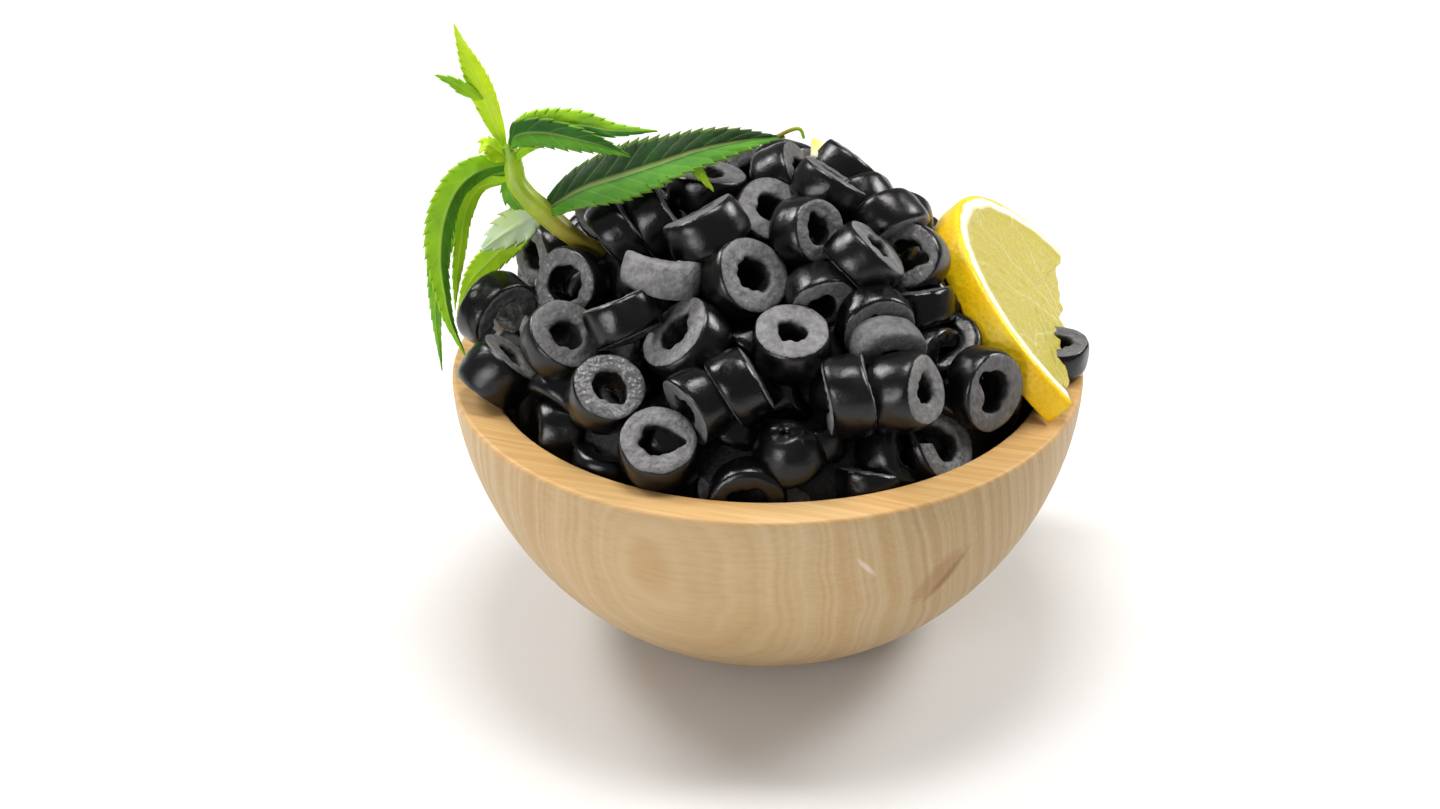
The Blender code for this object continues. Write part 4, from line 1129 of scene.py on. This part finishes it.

# %% [markdown]
# ## Lemon rind, pith and flesh
#
# One material serves the whole slice, because where rind turns to pith and pith
# to flesh is only a matter of depth under the arc. The mesh carries each point's
# place on the slice laid flat, in millimetres. Its distance from the middle
# gives the three layers, and its angle the segments. The rind is a deep warm
# yellow with pores that catch the light; the pith is chalky white; the flesh is
# pale, yellow-green and translucent, with bright specks painted where juice sacs
# gleam: a painted highlight, over flesh that is also glossier there.

# %% Lemon, sliced
lemon, tree, shader = new_finish("lemon_sliced_fresh")
flat_place = node(tree, "Attribute", {}, out=1, attribute_name="slice_place")
x, y, z = (node(tree, "SeparateXYZ", {"Vector": flat_place}, out=k) for k in range(3))
in_plane = node(tree, "CombineXYZ", {"X": x, "Y": y, "Z": 0.0})
from_middle = node(tree, "VectorMath", {0: in_plane}, out=1, operation="LENGTH")
drift = node(tree, "TexNoise", {"Vector": flat_place, "Scale": 0.22, "Detail": 2.0})
drift = node(tree, "Math", {0: drift, 1: 1.6, 2: -0.8}, operation="MULTIPLY_ADD")
depth = node(tree, "Math", {0: LEMON_RADIUS / MM, 1: from_middle}, operation="SUBTRACT")
depth = node(tree, "Math", {0: depth, 1: drift}, operation="ADD")
to_pith = node(tree, "MapRange", {"Value": depth, "From Min": 0.9, "From Max": 1.5})
to_flesh = node(tree, "MapRange", {"Value": depth, "From Min": 2.6, "From Max": 3.6})

SEGMENTS = 9
angle = node(tree, "Math", {0: y, 1: x}, operation="ARCTAN2")
bend = node(tree, "TexNoise", {"Vector": flat_place, "Scale": 0.12})
bend = node(tree, "Math", {0: bend, 1: 0.30}, operation="MULTIPLY")
angle = node(tree, "Math", {0: angle, 1: bend}, operation="ADD")
turns = node(tree, "Math", {0: angle, 1: SEGMENTS / math.tau}, operation="MULTIPLY")
near_wall = node(tree, "Math", {0: turns, 1: 0.5}, operation="PINGPONG")
wall_gap = node(tree, "Math", {0: near_wall, 1: from_middle}, operation="MULTIPLY")
membrane = node(tree, "MapRange", {"Value": wall_gap, "From Min": 0.55, "From Max": 0.10})

sac_place = node(tree, "Mapping", {"Vector": flat_place, "Scale": (1, 1, 0.4)})
sacs = node(tree, "TexVoronoi", {"Vector": sac_place, "Scale": 0.55}, feature="SMOOTH_F1")
specks = node(tree, "TexNoise", {"Vector": flat_place, "Scale": 2.2, "Detail": 3.0})
pores = node(tree, "TexVoronoi", {"Vector": flat_place, "Scale": 0.95}, feature="F1")
blush = node(tree, "TexNoise", {"Vector": flat_place, "Scale": 0.10, "Detail": 2.0})

# The brightest stop paints the gleam of the juice sacs: a painted highlight
flesh = node(tree, "ValToRGB", {0: specks}, stops=[
    (0.30, "#b4a340"), (0.50, "#c3b451"), (0.66, "#cfc56a"), (0.78, "#f6f1b8")])
flesh = node(tree, "Mix", {0: sacs, 6: flesh, 7: "#c4b650"}, out=2, data_type="RGBA")
wall_share = node(tree, "Math", {0: membrane, 1: 0.35}, operation="MULTIPLY")
flesh = node(tree, "Mix", {0: wall_share, 6: flesh, 7: "#ebe6bb"}, out=2, data_type="RGBA")
pith = node(tree, "ValToRGB", {0: specks}, stops=[(0.35, "#efe9c4"), (0.60, "#faf7e6")])
rind = node(tree, "ValToRGB", {0: blush}, stops=[
    (0.35, "#f3c200"), (0.55, "#f9ce04"), (0.70, "#fbd920")])
pore_tint = node(tree, "MapRange", {"Value": pores, "From Min": 0.05, "From Max": 0.35,
                                    "To Min": 0.86, "To Max": 1.0})
rind = node(tree, "VectorMath", {0: rind, "Scale": pore_tint}, operation="SCALE")
colour = node(tree, "Mix", {0: to_pith, 6: rind, 7: pith}, out=2, data_type="RGBA")
colour = node(tree, "Mix", {0: to_flesh, 6: colour, 7: flesh}, out=2, data_type="RGBA")

rough = node(tree, "Mix", {0: to_pith, 2: 0.38, 3: 0.80})
flesh_rough = node(tree, "MapRange", {"Value": specks, "From Min": 0.3, "From Max": 0.7,
                                      "To Min": 0.42, "To Max": 0.18})
rough = node(tree, "Mix", {0: to_flesh, 2: rough, 3: flesh_rough})
pore_relief = node(tree, "Bump", {"Height": pores, "Strength": 0.35, "Distance": 0.35 * MM})
flesh_relief = node(tree, "Bump", {"Height": specks, "Strength": 0.35, "Distance": 0.35 * MM})
normal = node(tree, "Mix", {0: to_flesh, 4: pore_relief, 5: flesh_relief}, out=1,
              data_type="VECTOR")
connect(tree, shader, {"Base Color": colour, "Roughness": rough, "Normal": normal,
                       "Subsurface Weight": 0.25, "Subsurface Radius": (1.0, 0.8, 0.3),
                       "Subsurface Scale": 1.5 * MM, "Specular IOR Level": 0.45})
print(lemon.name, "has", len(tree.nodes), "nodes")

# %% The two slices
for name, node_name, place, radius, seed in (
        ("lemon_half_front", "lemon_slice", LEMON_FRONT, LEMON_RADIUS, 3),
        ("lemon_half_back", "lemon_slice_back", LEMON_BACK, LEMON_RADIUS - BACK_SMALLER, 9)):
    points, flat = slice_surface(place, radius, seed)
    half_slice = new_piece(name, points, grid_faces(*points.shape[:2]), lemon,
                           slice_place=flat / MM)
    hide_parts(node_name)
    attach(half_slice, "root")
    tell(half_slice)

# %% [markdown]
# ## The mint sprig
#
# Mint has a square stalk and pairs of leaves with toothed edges. A leaf is thin,
# about a third of a millimetre, folded a little along its midrib, and quilted,
# because the blade puffs up between the side veins. That is a function of two
# numbers: the place along the midrib's route and the place across the blade.
# The stalk is a rounded square carried along its own route.

# %% Routes and leaves
# Millimetres from the bowl's axis and over its rim
STALK_ROUTE = [(-25, -1, 16), (-31, -2, 24), (-35, -2, 26.5), (-38.5, -1, 29),
               (-41.5, 0, 31.5), (-44.5, 1, 34), (-46.5, 2, 36.5), (-47, 3, 39),
               (-47.5, 3.5, 41.5), (-48.5, 4, 43.5)]
STALK_RADIUS = 1.8 * MM
STALK_SHARES = [0.6, 0.7, 0.8, 1.0, 1.1, 1.0, 1.0, 1.0, 0.9, 0.7]
CURL_ROUTE = [(1.6, 3.5, 45.2), (4.5, 4, 46.4), (6, 4, 46.4), (6.7, 4, 44.6)]
CURL_RADIUS = 0.38 * MM
# Each leaf: its midrib's route, the way its blade spreads, width, fold in
# degrees, tone from deep green 0 to yellow-green 1, and how much paler is the
# half that faces away from the spread
LEAVES = {
    "long": ([(-41.5, 0, 31.5), (-34.5, -1, 36.5), (-27, -1.5, 39.5), (-20, -1.5, 42),
              (-12.5, -1, 44.5), (-4, 1, 45.5), (3.2, 4, 45)], (0, 0.84, 0.55), 12.0, 8,
             0.02, 0.38),
    "upper_front": ([(-47.5, 3, 42.5), (-46, 1, 46.5), (-41, -1, 48), (-34.5, -3, 47.5),
                     (-29.5, -4, 46.5), (-25, -5, 45)], (0, 0.3, 0.95), 5.5, 12, 0.25, 0.2),
    "upper_back": ([(-48, 4, 42.5), (-45, 3, 46.5), (-40, 2, 48.2), (-34, 0, 49.2),
                    (-28, -1.5, 48.7), (-20, -3, 49.2)], (0, 0.5, 0.85), 6.0, 10, 0.70, -0.4),
    "petiole": ([(-47.2, 3, 40), (-45, 1, 43.5), (-42.5, 0, 45.5), (-40, -1.5, 46.5),
                 (-35.5, -3, 46)], (0, 0.5, 0.85), 2.6, 5, 0.75, 0.0),
    "droop": ([(-47.2, 3, 40), (-52, 0, 40.5), (-56, -3, 39), (-58.5, -5, 35.5),
               (-60, -6, 30.5), (-60.5, -7, 24.5), (-60, -7.5, 18.5), (-59, -8, 12.5),
               (-56, -8, 4)], (-0.7, -0.3, 0.8), 6.6, 22, 0.70, -0.25),
    "droop_behind": ([(-47, 3, 38.5), (-54.5, 4, 35.5), (-59.5, 3, 28.5), (-62, 2, 19.5),
                      (-62.7, 1, 9.5), (-62, 0, -2)], (-0.7, 0.2, 0.7), 5.0, 10, 0.55, 0.0),
    "droop_inner": ([(-46.6, 2.3, 37), (-53, 1.5, 36), (-56, 0, 31.5), (-57, -2, 25.5),
                     (-58, -3, 19), (-58.5, -4, 13)], (-0.7, -0.3, 0.7), 3.6, 10, 0.85, 0.0),
    "stem_side": ([(-47, 3, 39), (-47.6, 1, 36), (-46.5, 0, 33.5), (-43, 0, 31.5)],
                  (-0.7, -0.2, -0.6), 4.0, 10, 0.55, 0.1),
    "silver": ([(-42, 0, 31.5), (-46, -1.5, 29.7), (-49.5, -3, 28), (-53, -5, 26)],
               (-0.4, 0.3, 0.85), 7.0, 10, 1.25, 0.0),
    "low": ([(-41.8, 0.2, 31.2), (-48, 3.5, 24), (-53, 6, 18), (-56.5, 7, 13.5),
             (-59.5, 8, 6)], (-0.7, 0.1, 0.6), 5.5, 10, 0.85, 0.0),
    "bud": ([(-48, 3, 41), (-50, 1, 43.5), (-51.5, 0, 45), (-53, -1, 44)],
            (0.2, 1, 0.6), 4.5, 10, 0.90, 0.0),
    "shoot": ([(-48.5, 4, 42.5), (-51, 4, 50), (-52.5, 4, 54.5), (-54, 4, 58.5),
               (-55.5, 4, 62.5), (-57, 4, 67.5)], (0.9, 0.3, 0.35), 5.0, 25, 1.00, -0.1),
    "shoot_side": ([(-52.2, 4, 52.5), (-55, 3, 54.5), (-57.5, 1.5, 57), (-60.5, 0, 59)],
                   (0.3, 0.1, 0.9), 2.4, 10, 0.70, 0.0),
    "tip_below": ([(-15, 0, 43.3), (-13.5, -1, 41.4), (-11.8, -2, 39.4), (-9.9, -4, 37.6)],
                  (0.8, -0.2, 0.5), 2.4, 12, 0.80, 0.0),
}
print(len(LEAVES), "leaves")


# %% Functions for a leaf and a stalk
def smooth_route(points, count):
    """Points spaced along the Catmull-Rom curve through a route's points.

    Between two points it is the cubic that passes both, and runs there along
    the line that joins their neighbours.
    """
    route = np.array(points, float) * MM + (0, 0, RIM_HEIGHT)
    ends = np.concatenate([[2 * route[0] - route[1]], route, [2 * route[-1] - route[-2]]])
    place = np.linspace(0, len(route) - 1, count)
    start = np.minimum(place.astype(int), len(route) - 2)
    t = (place - start)[:, None]
    a, b, c, d = (ends[start + k] for k in range(4))
    return 0.5 * (2 * b + (c - a) * t + (2 * a - 5 * b + 4 * c - d) * t ** 2
                  + (3 * b - a - 3 * c + d) * t ** 3)


def unit(vectors):
    """The vectors, each divided by its length."""
    return vectors / np.linalg.norm(vectors, axis=-1, keepdims=True)


TOOTH_LENGTH, LEAF_THICKNESS, VEIN_SPACING = 2.1 * MM, 0.34 * MM, 4.2 * MM
ROWS_PER_TOOTH, LEAF_COLUMNS = 7, 19


def leaf_surface(route, spread, width, fold, seed):
    """Points of a leaf, with their shares along and across it.

    Half the width is the sine of a share of the length, to a power that puts
    the widest part a third of the way up. The edge runs out and forwards in
    teeth, a saw wave. Between the side veins the blade puffs up, the sine of the
    vein's count. The blade has an upper and a lower skin that meet at the edge.
    """
    length = np.linalg.norm(np.diff(smooth_route(route, 60), axis=0), axis=1).sum()
    teeth = max(5, round(length / TOOTH_LENGTH))
    rows = teeth * ROWS_PER_TOOTH + 1
    path = smooth_route(route, rows)
    along = np.linspace(0, 1, rows)[:, None]
    ahead = unit(np.gradient(path, axis=0))
    side = unit(np.array(spread) - ahead * (ahead @ np.array(spread))[:, None])
    face = np.cross(ahead, side)
    across = np.concatenate([np.linspace(-1, 1, LEAF_COLUMNS),
                             np.linspace(1, -1, LEAF_COLUMNS)[1:-1]])
    upper = np.concatenate([np.ones(LEAF_COLUMNS), -np.ones(LEAF_COLUMNS - 2)])
    out = np.abs(across)
    half = width * MM / 2 * np.maximum(np.sin(math.pi * along ** 0.62) ** 0.9,
                                       0.13 * np.sin(math.pi * along) ** 0.2)
    saw = (along * teeth + 0.35 * (across > 0)) % 1
    bite = out ** 5 * saw * np.sin(math.pi * along) ** 0.4
    spread_out = across * half * (1 + 0.20 * bite) - across * half * 0.08
    forward = 0.75 * bite * length / teeth
    pairs = max(3, round(length / VEIN_SPACING))
    count = (along - out * 1.1 * width * MM / 2 / length) * pairs
    size = width / 12
    puff = np.abs(np.sin(math.pi * count)) ** 0.8 * out ** 0.5 * (1 - out ** 4) * 0.24 * size
    rib = -0.35 * size * np.exp(-(across / 0.07) ** 2)
    wave = 0.35 * size * out ** 2 * np.sin(along * 17 + across * 1.3 + seed)
    angle = math.radians(fold)
    lift = (out * half * math.sin(angle) + (puff + rib + wave) * MM * np.minimum(half / MM, 1)
            + upper * (1 - out ** 6) * LEAF_THICKNESS / 2 * np.minimum(half / (0.3 * MM), 1))
    points = (path[:, None] + (spread_out * math.cos(angle))[..., None] * side[:, None]
              + forward[..., None] * ahead[:, None] + lift[..., None] * face[:, None])
    points[0], points[-1] = path[0], path[-1]
    flat = np.ones_like(lift)
    return points, {"leaf_along": along * flat, "leaf_across": across * flat,
                    "vein_count": count * flat}


def tube_surface(route, radius, shares, squareness, steps, rows):
    """Points of a stalk: a rounded square, or a circle at squareness 2, along a route.

    The section is a superellipse, scaled by the shares along the route and
    drawn in to a point at both ends.
    """
    path = smooth_route(route, rows)
    ahead = unit(np.gradient(path, axis=0))
    side = unit(np.cross(ahead, (0.0, 1.0, 0.2)))
    face = np.cross(ahead, side)
    turn = np.linspace(0, math.tau, steps, endpoint=False)
    around = np.stack([np.cos(turn), np.sin(turn)])
    around = around / (np.abs(around) ** squareness).sum(axis=0) ** (1 / squareness)
    place = np.linspace(0, len(shares) - 1, rows)
    size = radius * np.interp(place, np.arange(len(shares)), shares)[:, None]
    size[[0, -1]] = 0
    points = (path[:, None] + (size * around[0])[..., None] * side[:, None]
              + (size * around[1])[..., None] * face[:, None])
    return points, np.linspace(0, 1, rows)[:, None] * np.ones(steps)


# %% [markdown]
# ## Mint leaf and stalk
#
# A mint leaf is soft green, a little hairy, so it is half matt, with a pale
# midrib and side veins. Young leaves are yellow-green, and so are those that
# light shines through, where the yellow-green is painted light; old ones are a
# deep green, and an underside is silvery. The mesh carries the place along and
# across each leaf, so the veins follow the blade however it bends.

# %% Mint leaf, fresh
MOST_TONE = 1.3                 # the tone of a leaf's silvery underside
mint, tree, shader = new_finish("mint_leaf_fresh")
along, across, veins, tone = (
    node(tree, "Attribute", {}, out=2, attribute_name=label)
    for label in ("leaf_along", "leaf_across", "vein_count", "leaf_tone"))
place = node(tree, "TexCoord", {}, out=3)
blotches = node(tree, "TexNoise", {"Vector": place, "Scale": 160.0, "Detail": 3.0})
cells = node(tree, "TexVoronoi", {"Vector": place, "Scale": 1100.0}, feature="F1")
varied = node(tree, "Math", {0: blotches, 1: 0.35, 2: -0.175}, operation="MULTIPLY_ADD")
varied = node(tree, "Math", {0: varied, 1: tone}, operation="ADD")
varied = node(tree, "Math", {0: varied, 1: MOST_TONE}, operation="DIVIDE")
blade = node(tree, "ValToRGB", {0: varied}, stops=[
    (0.00, "#0f2e07"), (0.20, "#245f12"), (0.40, "#5c9a22"),
    (0.60, "#9ccb1a"), (0.80, "#c8e41a"), (1.00, "#c4d6c0")])
out_share = node(tree, "Math", {0: across}, operation="ABSOLUTE")
on_rib = node(tree, "MapRange", {"Value": out_share, "From Min": 0.13, "From Max": 0.04})
vein_gap = node(tree, "Math", {0: veins, 1: 0.5}, operation="PINGPONG")
on_vein = node(tree, "MapRange", {"Value": vein_gap, "From Min": 0.085, "From Max": 0.02,
                                  "To Max": 0.26})
pale = node(tree, "Math", {0: on_rib, 1: on_vein}, operation="MAXIMUM")
pale = node(tree, "Math", {0: pale, 1: 0.30}, operation="MULTIPLY")
colour = node(tree, "Mix", {0: pale, 6: blade, 7: "#c8dc7c"}, out=2, data_type="RGBA")
at_edge = node(tree, "MapRange", {"Value": out_share, "From Min": 0.86, "From Max": 1.0,
                                  "To Max": 0.22})
colour = node(tree, "Mix", {0: at_edge, 6: colour, 7: "#b4d24a"}, out=2, data_type="RGBA")
relief = node(tree, "Bump", {"Height": cells, "Strength": 0.20, "Distance": 0.2 * MM})
rough = node(tree, "MapRange", {"Value": blotches, "To Min": 0.48, "To Max": 0.66})
connect(tree, shader, {"Base Color": colour, "Roughness": rough, "Normal": relief,
                       "Subsurface Weight": 0.2, "Subsurface Radius": (0.5, 1.0, 0.2),
                       "Subsurface Scale": 0.8 * MM, "Specular IOR Level": 0.22})
print(mint.name, "has", len(tree.nodes), "nodes")

# %% Mint stalk, fresh
stem, tree, shader = new_finish("mint_stalk_fresh")
along = node(tree, "Attribute", {}, out=2, attribute_name="leaf_along")
place = node(tree, "TexCoord", {}, out=3)
streaks = node(tree, "TexNoise", {"Vector": place, "Scale": 260.0, "Detail": 3.0})
green = node(tree, "ValToRGB", {0: along}, stops=[
    (0.22, "#8a7a1e"), (0.34, "#a3a022"), (0.50, "#a9bf22"), (1.00, "#9cc81e")])
tint = node(tree, "ValToRGB", {0: streaks}, stops=[(0.3, "#cfd3a8"), (0.6, "#ffffff")])
colour = node(tree, "Mix", {0: 0.7, 6: green, 7: tint}, out=2, data_type="RGBA",
              blend_type="MULTIPLY")
relief = node(tree, "Bump", {"Height": streaks, "Strength": 0.3, "Distance": 0.3 * MM})
connect(tree, shader, {"Base Color": colour, "Roughness": 0.42, "Normal": relief,
                       "Subsurface Weight": 0.15, "Subsurface Radius": (0.6, 1.0, 0.2),
                       "Subsurface Scale": 1.0 * MM})
print(stem.name, "has", len(tree.nodes), "nodes")

# %% The sprig's meshes
sprig = []
for seed, (name, (route, spread, width, fold, tone, paler)) in enumerate(LEAVES.items()):
    points, numbers = leaf_surface(route, spread, width, fold, seed)
    tones = tone + paler * np.clip(-numbers["leaf_across"] * 4, 0, 1)
    sprig.append(new_piece("mint_leaf_" + name, points, grid_faces(*points.shape[:2]), mint,
                           leaf_tone=tones, **numbers))
for name, route, radius, shares, squareness in (
        ("mint_stalk", STALK_ROUTE, STALK_RADIUS, STALK_SHARES, 3.2),
        ("mint_curl", CURL_ROUTE, CURL_RADIUS, [1, 1, 0.8], 2)):
    points, share = tube_surface(route, radius, shares, squareness, steps=20, rows=70)
    sprig.append(new_piece(name, points, grid_faces(*points.shape[:2]), stem, leaf_along=share))
for item in sprig:
    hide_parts("mint_sprig")
    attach(item, "root")
    tell(item)
